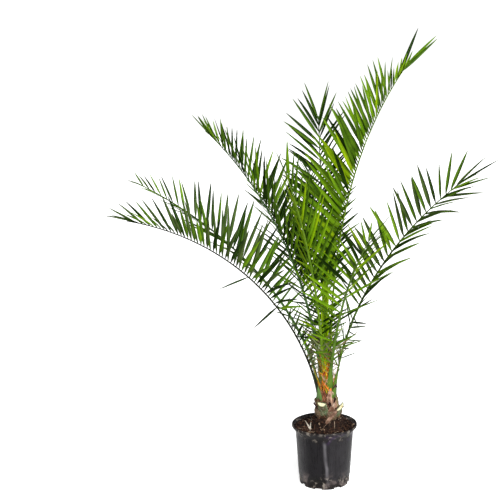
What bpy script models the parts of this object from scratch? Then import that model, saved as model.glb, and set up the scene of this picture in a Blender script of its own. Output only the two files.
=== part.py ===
"""Young canary island date palm in a black nursery pot, modelled at its real size in metres.

+Z is up, the plant stands on the flat underside of the pot, and the origin is the middle of that underside.
Every frond is a petiole and a blade: the blade is a rib that carries two rows of leaflets.
"""
import math
import random
from dataclasses import dataclass

import bmesh
import bpy
from mathutils import Matrix, Vector
from mathutils.bvhtree import BVHTree

# Clearance between neighbouring pieces, and the angle in degrees over which an edge stays sharp
GAP = 0.0003
LEAF_CLEARANCE = 0.0016
SHARP_ANGLE = 35.0

# Pot
POT_HEIGHT = 0.168
POT_RIM_RADIUS = 0.090
POT_NECK_RADIUS = 0.0800
POT_FOOT_RADIUS = 0.0700
POT_WALL = 0.0018
POT_FLOOR = 0.0025
POT_LIP_HEIGHT = 0.007
POT_FLARE_HEIGHT = 0.010
POT_STEP_HEIGHT = 0.024
POT_STEP_DEPTH = 0.0010
POT_SIDES = 40
DRAIN_SLOTS = 8
DRAIN_WIDTH = 0.020
DRAIN_RISE = 0.007
DRAIN_REACH = 0.010
DRAIN_TURN = 8.5

# Soil
SOIL_TOP = 0.160
SOIL_BUMP = 0.0022
SOIL_SHOULDER = 0.0012
SOIL_SIDES = 32
SOIL_RINGS = 5
SOIL_SEAT_RADIUS = 0.052
SOIL_SEED = 5

# Trunk, whose foot is the flat cut at soil level and whose axis leans to the left
TRUNK_FOOT_X = 0.0130
TRUNK_LEAN = -0.072
TRUNK_SIDES = 18
TRUNK_SECTIONS = (
    (0.000, 0.0350),
    (0.010, 0.0310),
    (0.035, 0.0300),
    (0.070, 0.0275),
    (0.095, 0.0225),
    (0.120, 0.0150),
    (0.142, 0.0080),
    (0.155, 0.0040),
)

# Cut leaf bases round the trunk: the height and heading of each
STUBS = (
    (0.030, 20.0),
    (0.030, 110.0),
    (0.030, 200.0),
    (0.030, 286.0),
    (0.054, 62.0),
    (0.054, 152.0),
    (0.054, 240.0),
    (0.042, 334.0),
)
STUB_LENGTH = 0.040
STUB_HALF_WIDTH = 0.0125
STUB_HALF_THICKNESS = 0.0066
STUB_LEAN = 24.0
STUB_FOOT_RADIUS = 0.0225
STUB_SWELLS = ((0.0, 0.75), (0.55, 1.0), (1.0, 1.12))
STUB_SIDES = 8

# Spear, the closed young frond in the middle
SPEAR_FOOT = 0.1555
SPEAR_LENGTH = 0.34
SPEAR_RADIUS = 0.0034
SPEAR_LEAN = 1.5
SPEAR_HEADING = 200.0
SPEAR_SECTIONS = ((0.0, 0.8), (0.15, 1.0), (0.6, 0.75), (0.9, 0.4), (1.0, 0.12))

# Petioles and ribs
RIB_SIDES = 6
RIB_STEPS = 60
PETIOLE_SECTIONS = 7
BLADE_SECTIONS = 12
SEAT_SINK = 0.030
PETIOLE_TAPER_POWER = 0.8
JOINT_HALF_WIDTH = 0.0042
JOINT_HALF_THICKNESS = 0.0030
TIP_HALF_WIDTH = 0.0012

# Leaflets
LEAF_SPACING = 0.0265
LEAF_SECTIONS = ((0.0, 0.45), (0.34, 1.0), (1.0, 0.1))
LEAF_WIDTH_SHARE = 0.092
LEAF_FIRST_SHARE = 0.62
LEAF_LONGEST = 0.30
LEAF_TAPER_POWER = 1.2
LEAF_LENGTH_RANGE = (0.92, 1.06)
LEAF_MIN_WIDTH = 0.0055
LEAF_THICKNESS_SHARE = 0.0115
LEAF_MIN_THICKNESS = 0.0012
LEAF_SPREAD_AT_TIP = 12.0
LEAF_TIP_FROM = 0.84
LEAF_JITTER = 5.0
LEAF_FOLD_JITTER = 8.0
LEAF_FIRST = 0.020
LEAF_LAST_SHARE = 0.985
LEAF_LEFT_OFFSET = 0.25
LEAF_RIGHT_OFFSET = 0.75
STRAY_WIDTH_SHARE = 0.060

# Spines and narrow first leaflets on the petioles
SPINE_SPACING = 0.032
SPINE_FIRST = 0.075
SPINE_LENGTH = 0.082
SPINE_SHORTEST_SHARE = 0.30
SPINE_LENGTH_RANGE = (0.9, 1.15)
SPINE_LEFT_OFFSET = 0.2
SPINE_RIGHT_OFFSET = 0.7
SPINE_WIDTH = 0.0034
SPINE_SPREAD = 62.0
SPINE_FOLD = -12.0
FOLD_TRIES = (0.0, 9.0, -9.0, 18.0, -18.0)
LENGTH_TRIES = (1.0, 0.8)


@dataclass(frozen=True)
class Frond:
    """One frond: where it sits on the trunk, how its rib leans and bends, and what its leaflets are like.

    Angles are in degrees. A heading of 0 is +X and 90 is +Y; lean is measured from upright.
    """

    name: str
    seat_angle: float
    seat_height: float
    seat_radius: float
    heading: float
    lean: float
    bend: float
    bend_power: float
    length: float
    blade_from: float
    leaf_length: float
    fold: float
    spread_at_base: float = 62.0
    spread_near_tip: float = 38.0
    left_spread_share: float = 1.0
    tip_share: float = 0.60
    roll: float = 0.0
    half_width: float = 0.0074
    half_thickness: float = 0.0044
    strays: tuple = ()


# Stray leaflets that bend away from their row: share of the rib, side, spread, fold, length
TALL_STRAYS = ((0.940, 1, 11, 62, 0.152), (0.965, -1, 12, -50, 0.130), (0.985, 1, 10, -75, 0.125))
LEFT_STRAYS = ((0.530, -1, 67, -93, 0.081), (0.373, -1, 105, -73, 0.099))
RIGHT_STRAYS = (
    (0.990, -1, 8, 10, 0.130),
    (0.960, -1, 24, 0, 0.125),
    (0.920, -1, 34, -10, 0.120),
    (0.322, -1, 84, 17, 0.080),
    (0.259, -1, 74, -1, 0.056),
    (0.221, 1, 70, -116, 0.056),
    (0.183, -1, 64, -16, 0.056),
    (0.140, 1, 52, -94, 0.052),
)

# Fronds: name, seat angle, height and radius, heading, lean, bend and its power, length, blade start,
# longest leaflet, fold
FRONDS = (
    Frond("tall_right", 30, 0.130, 0.0125, 24, 0.7, 38.8, 1.67, 0.91, 0.27, 0.188, 72,
          spread_at_base=66.0, spread_near_tip=43.0, tip_share=0.48, half_width=0.0062, strays=TALL_STRAYS),
    Frond("back_upright", 92, 0.135, 0.0115, 100, 4, 10, 1.00, 0.72, 0.30, 0.146, 14,
          spread_at_base=52.0, spread_near_tip=46.0, tip_share=0.85, roll=-36, half_width=0.0054),
    Frond("left_upper", 148, 0.127, 0.0140, 148, 7, 48, 1.08, 0.80, 0.28, 0.172, 62,
          tip_share=0.42, half_width=0.0060),
    Frond("left_middle", 174, 0.103, 0.0220, 168, 1, 65, 0.57, 0.79, 0.34, 0.165, 30,
          spread_at_base=46.0, spread_near_tip=18.0, left_spread_share=1.9, tip_share=0.28, roll=-26),
    Frond("left_lower", 212, 0.096, 0.0245, 205, 14, 63, 1.02, 0.765, 0.32, 0.157, 60,
          spread_at_base=84.0, spread_near_tip=40.0, tip_share=0.50, roll=-24, strays=LEFT_STRAYS),
    Frond("right_lower", -27, 0.101, 0.0235, -24, 5.5, 45.5, 0.85, 0.70, 0.33, 0.155, 15,
          spread_at_base=76.0, spread_near_tip=74.0, left_spread_share=0.42, tip_share=0.70, roll=50,
          strays=RIGHT_STRAYS),
    Frond("front_young", 248, 0.133, 0.0120, 238, 4, 26, 1.00, 0.62, 0.28, 0.180, 34,
          spread_at_base=36.0, spread_near_tip=18.0, half_width=0.0056),
    Frond("back_low", 72, 0.106, 0.0215, 98, 14, 48, 0.90, 0.74, 0.32, 0.140, 30),
    Frond("back_left", 118, 0.112, 0.0200, 122, 13, 40, 0.90, 0.62, 0.32, 0.150, 28,
          half_width=0.0062),
    Frond("front_right", 296, 0.113, 0.0195, 296, 8, 38, 1.00, 0.52, 0.30, 0.152, 21,
          half_width=0.0060),
)


@dataclass
class Frame:
    """A place on a rib: its point, the way the rib runs, the way to its upper face, and the way across."""

    point: Vector
    along: Vector
    upper: Vector
    across: Vector
    half_width: float
    half_thickness: float


def clear_scene():
    """Remove the objects that the scene starts with."""
    for item in list(bpy.data.objects):
        bpy.data.objects.remove(item, do_unlink=True)


def material(name, colour, roughness):
    """Return a plain Principled material of one colour and roughness."""
    made = bpy.data.materials.get(name) or bpy.data.materials.new(name)
    made.use_nodes = True
    shader = made.node_tree.nodes["Principled BSDF"]
    shader.inputs["Base Color"].default_value = (*colour, 1.0)
    shader.inputs["Roughness"].default_value = roughness
    shader.inputs["Metallic"].default_value = 0.0
    return made


def add_object(name, bm, finish, parent=None, smooth=True):
    """Turn a bmesh into a named object with its material, under the plant's empty."""
    mesh = bpy.data.meshes.new(name)
    bmesh.ops.recalc_face_normals(bm, faces=bm.faces)
    bm.to_mesh(mesh)
    bm.free()
    if finish:
        mesh.materials.append(finish)
    if smooth:
        mesh.shade_smooth()
        mesh.set_sharp_from_angle(angle=math.radians(SHARP_ANGLE))
    item = bpy.data.objects.new(name, mesh)
    bpy.context.scene.collection.objects.link(item)
    item.parent = parent
    return item


def apply_boolean(item, operation, cutter=None, group=None, solver="EXACT"):
    """Join or cut an object with a cutter or a collection, and keep the result as its mesh."""
    change = item.modifiers.new("shape", "BOOLEAN")
    change.operation = operation
    change.solver = solver
    if group:
        change.operand_type = "COLLECTION"
        change.collection = group
    else:
        change.object = cutter
    bpy.context.view_layer.update()
    graph = bpy.context.evaluated_depsgraph_get()
    result = bpy.data.meshes.new_from_object(item.evaluated_get(graph), depsgraph=graph)
    item.modifiers.remove(change)
    old = item.data
    result.name = old.name
    item.data = result
    bpy.data.meshes.remove(old)


def loft(rings, sides):
    """Return a closed skin over rings, each a Frame, as a bmesh with flat ends."""
    bm = bmesh.new()
    loops = []
    for ring in rings:
        turn = Matrix((ring.across, ring.upper, ring.along)).transposed().to_4x4()
        size = Matrix.Diagonal((ring.half_width, ring.half_thickness, 1.0, 1.0))
        made = bmesh.ops.create_circle(bm, segments=sides, radius=1.0,
                                       matrix=Matrix.Translation(ring.point) @ turn @ size)
        loops.append({edge for vert in made["verts"] for edge in vert.link_edges})
    for lower, higher in zip(loops, loops[1:]):
        bmesh.ops.bridge_loops(bm, edges=list(lower | higher))
    bmesh.ops.holes_fill(bm, edges=list(loops[0] | loops[-1]), sides=sides)
    return bm


def turned(profile, sides):
    """Return a bmesh turned round Z from a profile of (radius, height) that starts and ends on the axis."""
    bm = bmesh.new()
    points = [bm.verts.new((radius, 0.0, height)) for radius, height in profile]
    edges = [bm.edges.new(pair) for pair in zip(points, points[1:])]
    bmesh.ops.spin(bm, geom=points + edges, axis=(0, 0, 1), cent=(0, 0, 0), steps=sides,
                   angle=math.tau, use_merge=True)
    bmesh.ops.remove_doubles(bm, verts=bm.verts, dist=1e-5)
    return bm


def wall_radius(height):
    """Return the outer radius of the pot's wall, which widens from the foot to the neck."""
    neck_height = POT_HEIGHT - POT_LIP_HEIGHT - POT_FLARE_HEIGHT
    share = min(height / neck_height, 1.0)
    radius = POT_FOOT_RADIUS + (POT_NECK_RADIUS - POT_FOOT_RADIUS) * share
    if height < POT_STEP_HEIGHT:
        radius -= POT_STEP_DEPTH
    return radius


def build_pot(parent, finish):
    """Make the pot: a thin tapered wall with a flared lip, a step near the foot and drainage slots."""
    neck_height = POT_HEIGHT - POT_LIP_HEIGHT - POT_FLARE_HEIGHT
    lip_height = POT_HEIGHT - POT_LIP_HEIGHT
    step_top = POT_STEP_HEIGHT + POT_STEP_DEPTH
    outer = [
        (0.0, 0.0),
        (wall_radius(0.0), 0.0),
        (wall_radius(POT_STEP_HEIGHT - POT_STEP_DEPTH), POT_STEP_HEIGHT - POT_STEP_DEPTH),
        (wall_radius(step_top), step_top),
        (POT_NECK_RADIUS, neck_height),
        (POT_RIM_RADIUS, lip_height),
        (POT_RIM_RADIUS, POT_HEIGHT),
    ]
    inner = [
        (POT_RIM_RADIUS - POT_WALL, POT_HEIGHT),
        (POT_RIM_RADIUS - POT_WALL, lip_height + POT_WALL),
        (POT_NECK_RADIUS - POT_WALL, neck_height + POT_WALL),
        (wall_radius(step_top) - POT_WALL, step_top),
        (wall_radius(0.0) - POT_WALL, step_top - 2 * POT_STEP_DEPTH),
        (wall_radius(0.0) - POT_WALL - 0.5 * POT_STEP_DEPTH, POT_FLOOR),
        (0.0, POT_FLOOR),
    ]
    pot = add_object("pot", turned(outer + inner, POT_SIDES), finish, parent)
    for index in range(DRAIN_SLOTS):
        angle = math.tau * (index + 0.5) / DRAIN_SLOTS + math.radians(DRAIN_TURN)
        centre = Vector((math.cos(angle), math.sin(angle), 0.0)) * POT_FOOT_RADIUS
        size = Matrix.Diagonal((2 * DRAIN_REACH, DRAIN_WIDTH, 2 * DRAIN_RISE, 1.0))
        bm = bmesh.new()
        bmesh.ops.create_cube(bm, size=1.0, matrix=Matrix.Translation(centre)
                              @ Matrix.Rotation(angle, 4, "Z") @ size)
        cutter = add_object("drain_cutter", bm, None, smooth=False)
        apply_boolean(pot, "DIFFERENCE", cutter)
        bpy.data.objects.remove(cutter, do_unlink=True)
    return pot


def build_soil(parent, finish):
    """Make the soil that fills the pot into its flare, with an uneven top that is level under the trunk."""
    chance = random.Random(SOIL_SEED)
    step_top = POT_STEP_HEIGHT + POT_STEP_DEPTH
    neck_height = POT_HEIGHT - POT_LIP_HEIGHT - POT_FLARE_HEIGHT
    inset = POT_WALL + 3 * GAP
    shoulder_height = SOIL_TOP - SOIL_SHOULDER
    shoulder_radius = POT_NECK_RADIUS - inset + (shoulder_height - neck_height - POT_WALL)
    profile = [
        (0.0, POT_FLOOR + GAP),
        (wall_radius(0.0) - inset - POT_STEP_DEPTH, POT_FLOOR + GAP),
        (wall_radius(0.0) - inset, step_top - 2 * POT_STEP_DEPTH),
        (wall_radius(step_top) - inset, step_top + 2 * POT_STEP_DEPTH),
        (POT_NECK_RADIUS - inset - SOIL_SHOULDER, neck_height),
        (shoulder_radius - SOIL_SHOULDER, shoulder_height),
    ]
    top_radius = shoulder_radius - 2 * SOIL_SHOULDER
    for ring in range(SOIL_RINGS):
        profile.append((top_radius * (1.0 - ring / SOIL_RINGS), SOIL_TOP))
    profile.append((0.0, SOIL_TOP))
    bm = turned(profile, SOIL_SIDES)
    seat = Vector((TRUNK_FOOT_X, 0.0, 0.0))
    for vert in bm.verts:
        flat_distance = (Vector((vert.co.x, vert.co.y, 0.0)) - seat).length
        if vert.co.z > SOIL_TOP - GAP and flat_distance > SOIL_SEAT_RADIUS:
            vert.co.z += chance.uniform(-SOIL_BUMP, SOIL_BUMP)
    return add_object("soil", bm, finish, parent)


def trunk_axis(height):
    """Return the trunk's centre at a height above the soil."""
    return Vector((TRUNK_FOOT_X + TRUNK_LEAN * height, 0.0, SOIL_TOP + GAP + height))


def trunk_rings(grow):
    """Return the trunk's level rings, each wider by grow, from the flat foot to the tip."""
    rings = []
    for height, radius in TRUNK_SECTIONS:
        rings.append(Frame(trunk_axis(height), Vector((0, 0, 1)), Vector((0, 1, 0)), Vector((1, 0, 0)),
                           radius + grow, radius + grow))
    return rings


def build_trunk(parent, finish):
    """Make the short trunk, which flares at its foot and tapers to the growing tip."""
    return add_object("trunk", loft(trunk_rings(0.0), TRUNK_SIDES), finish, parent)


def trunk_cutter():
    """Make the body that leaf bases are cut with, so that each clasps the trunk a little clear of it."""
    rings = trunk_rings(GAP)
    rings[-1].point = rings[-1].point + Vector((0, 0, GAP))
    cutter = add_object("trunk_cutter", loft(rings, TRUNK_SIDES), None)
    cutter.hide_render = True
    cutter.display_type = "WIRE"
    return cutter


def heading_frame(point, lean, heading, half_width, half_thickness, roll=0.0):
    """Return the frame of a rib that leans by an angle towards a heading."""
    outward = Vector((math.cos(heading), math.sin(heading), 0.0))
    along = outward * math.sin(lean) + Vector((0, 0, math.cos(lean)))
    upper = Vector((0, 0, math.sin(lean))) - outward * math.cos(lean)
    across = upper.cross(along)
    turn = Matrix.Rotation(roll, 3, along)
    return Frame(point, along, turn @ upper, turn @ across, half_width, half_thickness)


def build_stubs(parent, finish, cutter):
    """Make the cut leaf bases that stand round the trunk."""
    lean = math.radians(STUB_LEAN)
    for number, (height, heading_degrees) in enumerate(STUBS):
        heading = math.radians(heading_degrees)
        outward = Vector((math.cos(heading), math.sin(heading), 0.0))
        foot = trunk_axis(height - 0.5 * STUB_LENGTH) + outward * STUB_FOOT_RADIUS
        rings = []
        for share, swell in STUB_SWELLS:
            ring = heading_frame(foot, lean, heading, STUB_HALF_WIDTH * swell, STUB_HALF_THICKNESS * swell)
            ring.point = foot + ring.along * STUB_LENGTH * share
            rings.append(ring)
        stub = add_object(f"leaf_base_{number + 1}", loft(rings, STUB_SIDES), finish, parent)
        apply_boolean(stub, "DIFFERENCE", cutter)


def build_spear(parent, finish):
    """Make the closed young frond that stands on the trunk's tip."""
    rings = []
    foot = trunk_axis(SPEAR_FOOT) + Vector((0, 0, GAP))
    for share, size in SPEAR_SECTIONS:
        ring = heading_frame(foot, math.radians(SPEAR_LEAN), math.radians(SPEAR_HEADING),
                             SPEAR_RADIUS * size, SPEAR_RADIUS * size)
        ring.point = foot + ring.along * SPEAR_LENGTH * share
        rings.append(ring)
    return add_object("spear", loft(rings, RIB_SIDES), finish, parent)


def rib_size(frond, share):
    """Return half the rib's width and half its thickness at a share of its length."""
    if share < frond.blade_from:
        mix = share / frond.blade_from
        half_width = frond.half_width + (JOINT_HALF_WIDTH - frond.half_width) * mix ** PETIOLE_TAPER_POWER
        half_thickness = frond.half_thickness + (JOINT_HALF_THICKNESS - frond.half_thickness) * mix
        return half_width, half_thickness
    mix = (share - frond.blade_from) / (1.0 - frond.blade_from)
    half_width = JOINT_HALF_WIDTH + (TIP_HALF_WIDTH - JOINT_HALF_WIDTH) * mix
    half_thickness = JOINT_HALF_THICKNESS + (TIP_HALF_WIDTH - JOINT_HALF_THICKNESS) * mix
    return half_width, half_thickness


def rib_frame(frond, share):
    """Return the rib's frame at a share of its length, walking up from its seat on the trunk."""
    heading = math.radians(frond.heading)
    seat_angle = math.radians(frond.seat_angle)
    seat = Vector((math.cos(seat_angle), math.sin(seat_angle), 0.0)) * frond.seat_radius
    outward = Vector((math.cos(heading), math.sin(heading), 0.0))
    point = trunk_axis(frond.seat_height) + seat
    step = frond.length / RIB_STEPS
    whole = int(share * RIB_STEPS + GAP)
    for index in range(whole + 1):
        part = 1.0 if index < whole else share * RIB_STEPS - whole
        lean = math.radians(frond.lean + frond.bend * ((index + 0.5) / RIB_STEPS) ** frond.bend_power)
        point = point + (outward * math.sin(lean) + Vector((0, 0, math.cos(lean)))) * (part * step)
    lean = math.radians(frond.lean + frond.bend * share ** frond.bend_power)
    roll = math.radians(frond.roll) * min(share / frond.blade_from, 1.0)
    return heading_frame(point, lean, heading, *rib_size(frond, share), roll)


def petiole_rings(frond):
    """Return the petiole's rings, from inside the trunk up to the joint with the blade."""
    foot = rib_frame(frond, 0.0)
    foot.point = foot.point - foot.along * SEAT_SINK
    last = frond.blade_from - GAP / frond.length
    shares = [last * index / (PETIOLE_SECTIONS - 1) for index in range(PETIOLE_SECTIONS)]
    return [foot] + [rib_frame(frond, share) for share in shares]


def blade_rings(frond):
    """Return the rings of the blade's rib, from its joint with the petiole to its tip."""
    span = 1.0 - frond.blade_from
    return [rib_frame(frond, frond.blade_from + span * index / (BLADE_SECTIONS - 1))
            for index in range(BLADE_SECTIONS)]


def leaf_template():
    """Return the mesh of one leaflet of unit length along X, unit width along Y and unit thickness along Z.

    It is keeled: three-sided, with its flat side up, and it ends in a point.
    """
    rings = []
    for place, size in LEAF_SECTIONS:
        rings.append(Frame(Vector((place, 0, 0)), Vector((1, 0, 0)), Vector((0, 0, -1)), Vector((0, 1, 0)),
                           size / math.sqrt(3.0), size / 1.5))
    bm = loft(rings, 3)
    point = [vert for vert in bm.verts if vert.co.x > 1.0 - GAP]
    bmesh.ops.pointmerge(bm, verts=point, merge_co=(1.0, 0.0, 0.0))
    mesh = bpy.data.meshes.new("leaf_template")
    bmesh.ops.recalc_face_normals(bm, faces=bm.faces)
    bm.to_mesh(mesh)
    bm.free()
    return mesh


def leaf_matrix(frame, side, spread, fold, length, width, thickness):
    """Return the matrix that lays the unit leaflet on one side of a rib, rooted in its middle."""
    across = frame.across * side
    outward = across * math.cos(fold) + frame.upper * math.sin(fold)
    direction = frame.along * math.cos(spread) + outward * math.sin(spread)
    broad = (frame.along - direction * frame.along.dot(direction)).normalized()
    face = direction.cross(broad)
    turn = Matrix((direction, broad, face)).transposed().to_4x4()
    return Matrix.Translation(frame.point) @ turn @ Matrix.Diagonal((length, width, thickness, 1.0))


def leaf_length_share(frond, place):
    """Return a leaflet's share of the longest one's length at a place along the blade."""
    if place < LEAF_LONGEST:
        growth = math.sin(0.5 * math.pi * place / LEAF_LONGEST)
        return LEAF_FIRST_SHARE + (1.0 - LEAF_FIRST_SHARE) * growth
    past = (place - LEAF_LONGEST) / (1.0 - LEAF_LONGEST)
    return 1.0 - (1.0 - frond.tip_share) * past ** LEAF_TAPER_POWER


def leaf_spread(frond, place):
    """Return the angle between a leaflet and the rib at a place along the blade, in degrees."""
    if place < LEAF_TIP_FROM:
        change = (frond.spread_near_tip - frond.spread_at_base) * place / LEAF_TIP_FROM
        return frond.spread_at_base + change
    change = (LEAF_SPREAD_AT_TIP - frond.spread_near_tip) * (place - LEAF_TIP_FROM) / (1.0 - LEAF_TIP_FROM)
    return frond.spread_near_tip + change


def stray_leaves(frond, on_blade):
    """List a frond's stray leaflets on its blade or on its petiole, in the form that blade_leaves uses."""
    return [(rib_frame(frond, share), side, spread, fold, length, length * STRAY_WIDTH_SHARE)
            for share, side, spread, fold, length in frond.strays if (share > frond.blade_from) == on_blade]


def blade_leaves(frond, chance):
    """List a blade's leaflets as (frame, side, spread, fold, length, width)."""
    blade_length = frond.length * (1.0 - frond.blade_from)
    row_length = (blade_length - LEAF_FIRST) * LEAF_LAST_SHARE
    count = int(round((blade_length - LEAF_FIRST) / LEAF_SPACING))
    leaves = []
    for index in range(count):
        for side in (-1, 1):
            place = (index + (LEAF_LEFT_OFFSET if side < 0 else LEAF_RIGHT_OFFSET)) / count
            share = frond.blade_from + (LEAF_FIRST + place * row_length) / frond.length
            spread = leaf_spread(frond, place) * (frond.left_spread_share if side < 0 else 1.0)
            spread += chance.uniform(-LEAF_JITTER, LEAF_JITTER)
            fold = frond.fold + chance.uniform(-LEAF_FOLD_JITTER, LEAF_FOLD_JITTER)
            length = frond.leaf_length * leaf_length_share(frond, place)
            length *= chance.uniform(*LEAF_LENGTH_RANGE)
            width = max(LEAF_MIN_WIDTH, length * LEAF_WIDTH_SHARE)
            leaves.append((rib_frame(frond, share), side, spread, fold, length, width))
    return leaves + stray_leaves(frond, True)


def petiole_spines(frond, chance):
    """List the spines and narrow first leaflets along a petiole, in the form that blade_leaves uses."""
    petiole_length = frond.length * frond.blade_from
    count = int((petiole_length - SPINE_FIRST) / SPINE_SPACING)
    spines = []
    for index in range(count):
        for side in (-1, 1):
            offset = SPINE_LEFT_OFFSET if side < 0 else SPINE_RIGHT_OFFSET
            distance = SPINE_FIRST + SPINE_SPACING * (index + offset)
            growth = SPINE_SHORTEST_SHARE + (1.0 - SPINE_SHORTEST_SHARE) * distance / petiole_length
            length = SPINE_LENGTH * growth * chance.uniform(*SPINE_LENGTH_RANGE)
            spread = SPINE_SPREAD + chance.uniform(-LEAF_JITTER, LEAF_JITTER)
            fold = SPINE_FOLD + chance.uniform(-LEAF_JITTER, LEAF_JITTER)
            frame = rib_frame(frond, distance / frond.length)
            spines.append((frame, side, spread, fold, length, SPINE_WIDTH))
    return spines + stray_leaves(frond, False)


def polygons_of(mesh, matrix, offset=0):
    """Return a mesh's points under a matrix and its faces, numbered from an offset."""
    points = [matrix @ vert.co for vert in mesh.vertices]
    faces = [tuple(index + offset for index in face.vertices) for face in mesh.polygons]
    return points, faces


class Crown:
    """The fronds under construction, and the room that each node's pieces take up."""

    def __init__(self, template):
        """Keep the leaflet's template mesh and start with nothing in the way."""
        self.template = template
        self.room = {}
        self.skipped = 0

    def occupy(self, node, points, faces):
        """Add polygons to the room that a node takes up."""
        old_points, old_faces = self.room.setdefault(node, ([], []))
        offset = len(old_points)
        old_points.extend(points)
        old_faces.extend(tuple(index + offset for index in face) for face in faces)

    def others(self, node):
        """Return a search tree of everything but one node."""
        points = []
        faces = []
        for name, (more_points, more_faces) in self.room.items():
            if name != node:
                offset = len(points)
                points.extend(more_points)
                faces.extend(tuple(index + offset for index in face) for face in more_faces)
        return BVHTree.FromPolygons(points, faces)

    def fit(self, tree, leaf):
        """Return the matrix of a leaflet where it is clear of the others, or None."""
        frame, side, spread, fold, length, width = leaf
        for share in LENGTH_TRIES:
            for turn in FOLD_TRIES:
                tried = length * share
                thickness = max(LEAF_MIN_THICKNESS, tried * LEAF_THICKNESS_SHARE)
                angles = (math.radians(spread), math.radians(fold + turn))
                fat = leaf_matrix(frame, side, *angles, tried + LEAF_CLEARANCE,
                                  width + 2 * LEAF_CLEARANCE, thickness + 2 * LEAF_CLEARANCE)
                probe = BVHTree.FromPolygons(*polygons_of(self.template, fat))
                if not tree.overlap(probe):
                    return leaf_matrix(frame, side, *angles, tried, width, thickness)
        return None

    def dress(self, item, leaves):
        """Join the leaflets that fit to a rib or petiole by one union."""
        tree = self.others(item.name)
        group = bpy.data.collections.new("leaves")
        bpy.context.scene.collection.children.link(group)
        for leaf in leaves:
            matrix = self.fit(tree, leaf)
            if matrix is None:
                self.skipped += 1
                continue
            piece = bpy.data.objects.new("leaf", self.template)
            piece.matrix_world = matrix
            group.objects.link(piece)
            self.occupy(item.name, *polygons_of(self.template, matrix))
        if group.objects:
            apply_boolean(item, "UNION", group=group, solver="MANIFOLD")
        for piece in list(group.objects):
            bpy.data.objects.remove(piece, do_unlink=True)
        bpy.data.collections.remove(group)


def build_crown(parent, finishes, cutter, trunk):
    """Make every frond's petiole and blade, clear of each other."""
    template = leaf_template()
    crown = Crown(template)
    crown.occupy("trunk", *polygons_of(trunk.data, Matrix.Identity(4)))
    petioles = []
    blades = []
    for frond in FRONDS:
        petiole = add_object(f"petiole_{frond.name}", loft(petiole_rings(frond), RIB_SIDES),
                             finishes["petiole"], parent)
        apply_boolean(petiole, "DIFFERENCE", cutter)
        blade = add_object(f"frond_{frond.name}", loft(blade_rings(frond), RIB_SIDES),
                           finishes["leaf"], parent)
        for item in (petiole, blade):
            crown.occupy(item.name, *polygons_of(item.data, Matrix.Identity(4)))
        petioles.append(petiole)
        blades.append(blade)
    chances = [random.Random(number + 1) for number in range(len(FRONDS))]
    for frond, blade, chance in zip(FRONDS, blades, chances):
        crown.dress(blade, blade_leaves(frond, chance))
    for frond, petiole, chance in zip(FRONDS, petioles, chances):
        crown.dress(petiole, petiole_spines(frond, chance))
    bpy.data.meshes.remove(template)
    print("leaflets skipped:", crown.skipped)


def main():
    """Build the whole plant in its pot."""
    clear_scene()
    plant = bpy.data.objects.new("date_palm", None)
    bpy.context.scene.collection.objects.link(plant)
    finishes = {
        "pot": material("black_plastic", (0.018, 0.018, 0.021), 0.42),
        "soil": material("potting_soil", (0.045, 0.026, 0.016), 0.95),
        "trunk": material("fibrous_trunk", (0.165, 0.085, 0.040), 0.85),
        "stub": material("leaf_base_husk", (0.210, 0.150, 0.075), 0.75),
        "petiole": material("petiole_green", (0.135, 0.235, 0.045), 0.50),
        "leaf": material("leaflet_green", (0.060, 0.175, 0.020), 0.48),
        "spear": material("spear_yellow", (0.420, 0.450, 0.060), 0.50),
    }
    build_pot(plant, finishes["pot"])
    build_soil(plant, finishes["soil"])
    trunk = build_trunk(plant, finishes["trunk"])
    cutter = trunk_cutter()
    build_stubs(plant, finishes["stub"], cutter)
    build_spear(plant, finishes["spear"])
    build_crown(plant, finishes, cutter, trunk)
    bpy.data.objects.remove(cutter, do_unlink=True)


if __name__ == "__main__":
    main()
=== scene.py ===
"""Dressed model of a young canary island date palm in a black nursery pot.

Sizes are in metres, +Z is up and the origin is the middle of the pot's flat underside. Each class makes one
sub-assembly: the pot, the soil, the bole with its cut leaf bases, the crown of fronds, and the studio.
"""

import logging
import math
import random
from dataclasses import dataclass, field
from enum import Enum
from typing import Any, Callable

import bmesh
import bpy
import numpy as np
from mathutils import Matrix, Vector, noise
from mathutils.bvhtree import BVHTree

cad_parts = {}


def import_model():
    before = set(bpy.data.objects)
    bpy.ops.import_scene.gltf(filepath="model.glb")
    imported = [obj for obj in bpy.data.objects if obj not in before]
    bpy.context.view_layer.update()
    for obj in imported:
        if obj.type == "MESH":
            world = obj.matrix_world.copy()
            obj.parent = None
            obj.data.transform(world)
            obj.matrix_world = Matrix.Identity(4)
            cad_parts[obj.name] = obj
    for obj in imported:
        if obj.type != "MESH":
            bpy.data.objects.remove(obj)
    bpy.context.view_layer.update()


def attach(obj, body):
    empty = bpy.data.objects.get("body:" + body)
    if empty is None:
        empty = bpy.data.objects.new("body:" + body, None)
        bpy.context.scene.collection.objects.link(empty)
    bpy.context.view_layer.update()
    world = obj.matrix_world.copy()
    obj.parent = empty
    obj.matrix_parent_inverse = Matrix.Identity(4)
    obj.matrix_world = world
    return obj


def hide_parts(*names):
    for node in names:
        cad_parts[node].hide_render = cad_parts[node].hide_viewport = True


LOG = logging.getLogger("date_palm")
UP = Vector((0.0, 0.0, 1.0))
QUARTER_TURN = math.pi / 2
GOLDEN_ANGLE = 2.399963
Colour = tuple[float, float, float]
Socket = bpy.types.NodeSocket


# Node trees


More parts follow.
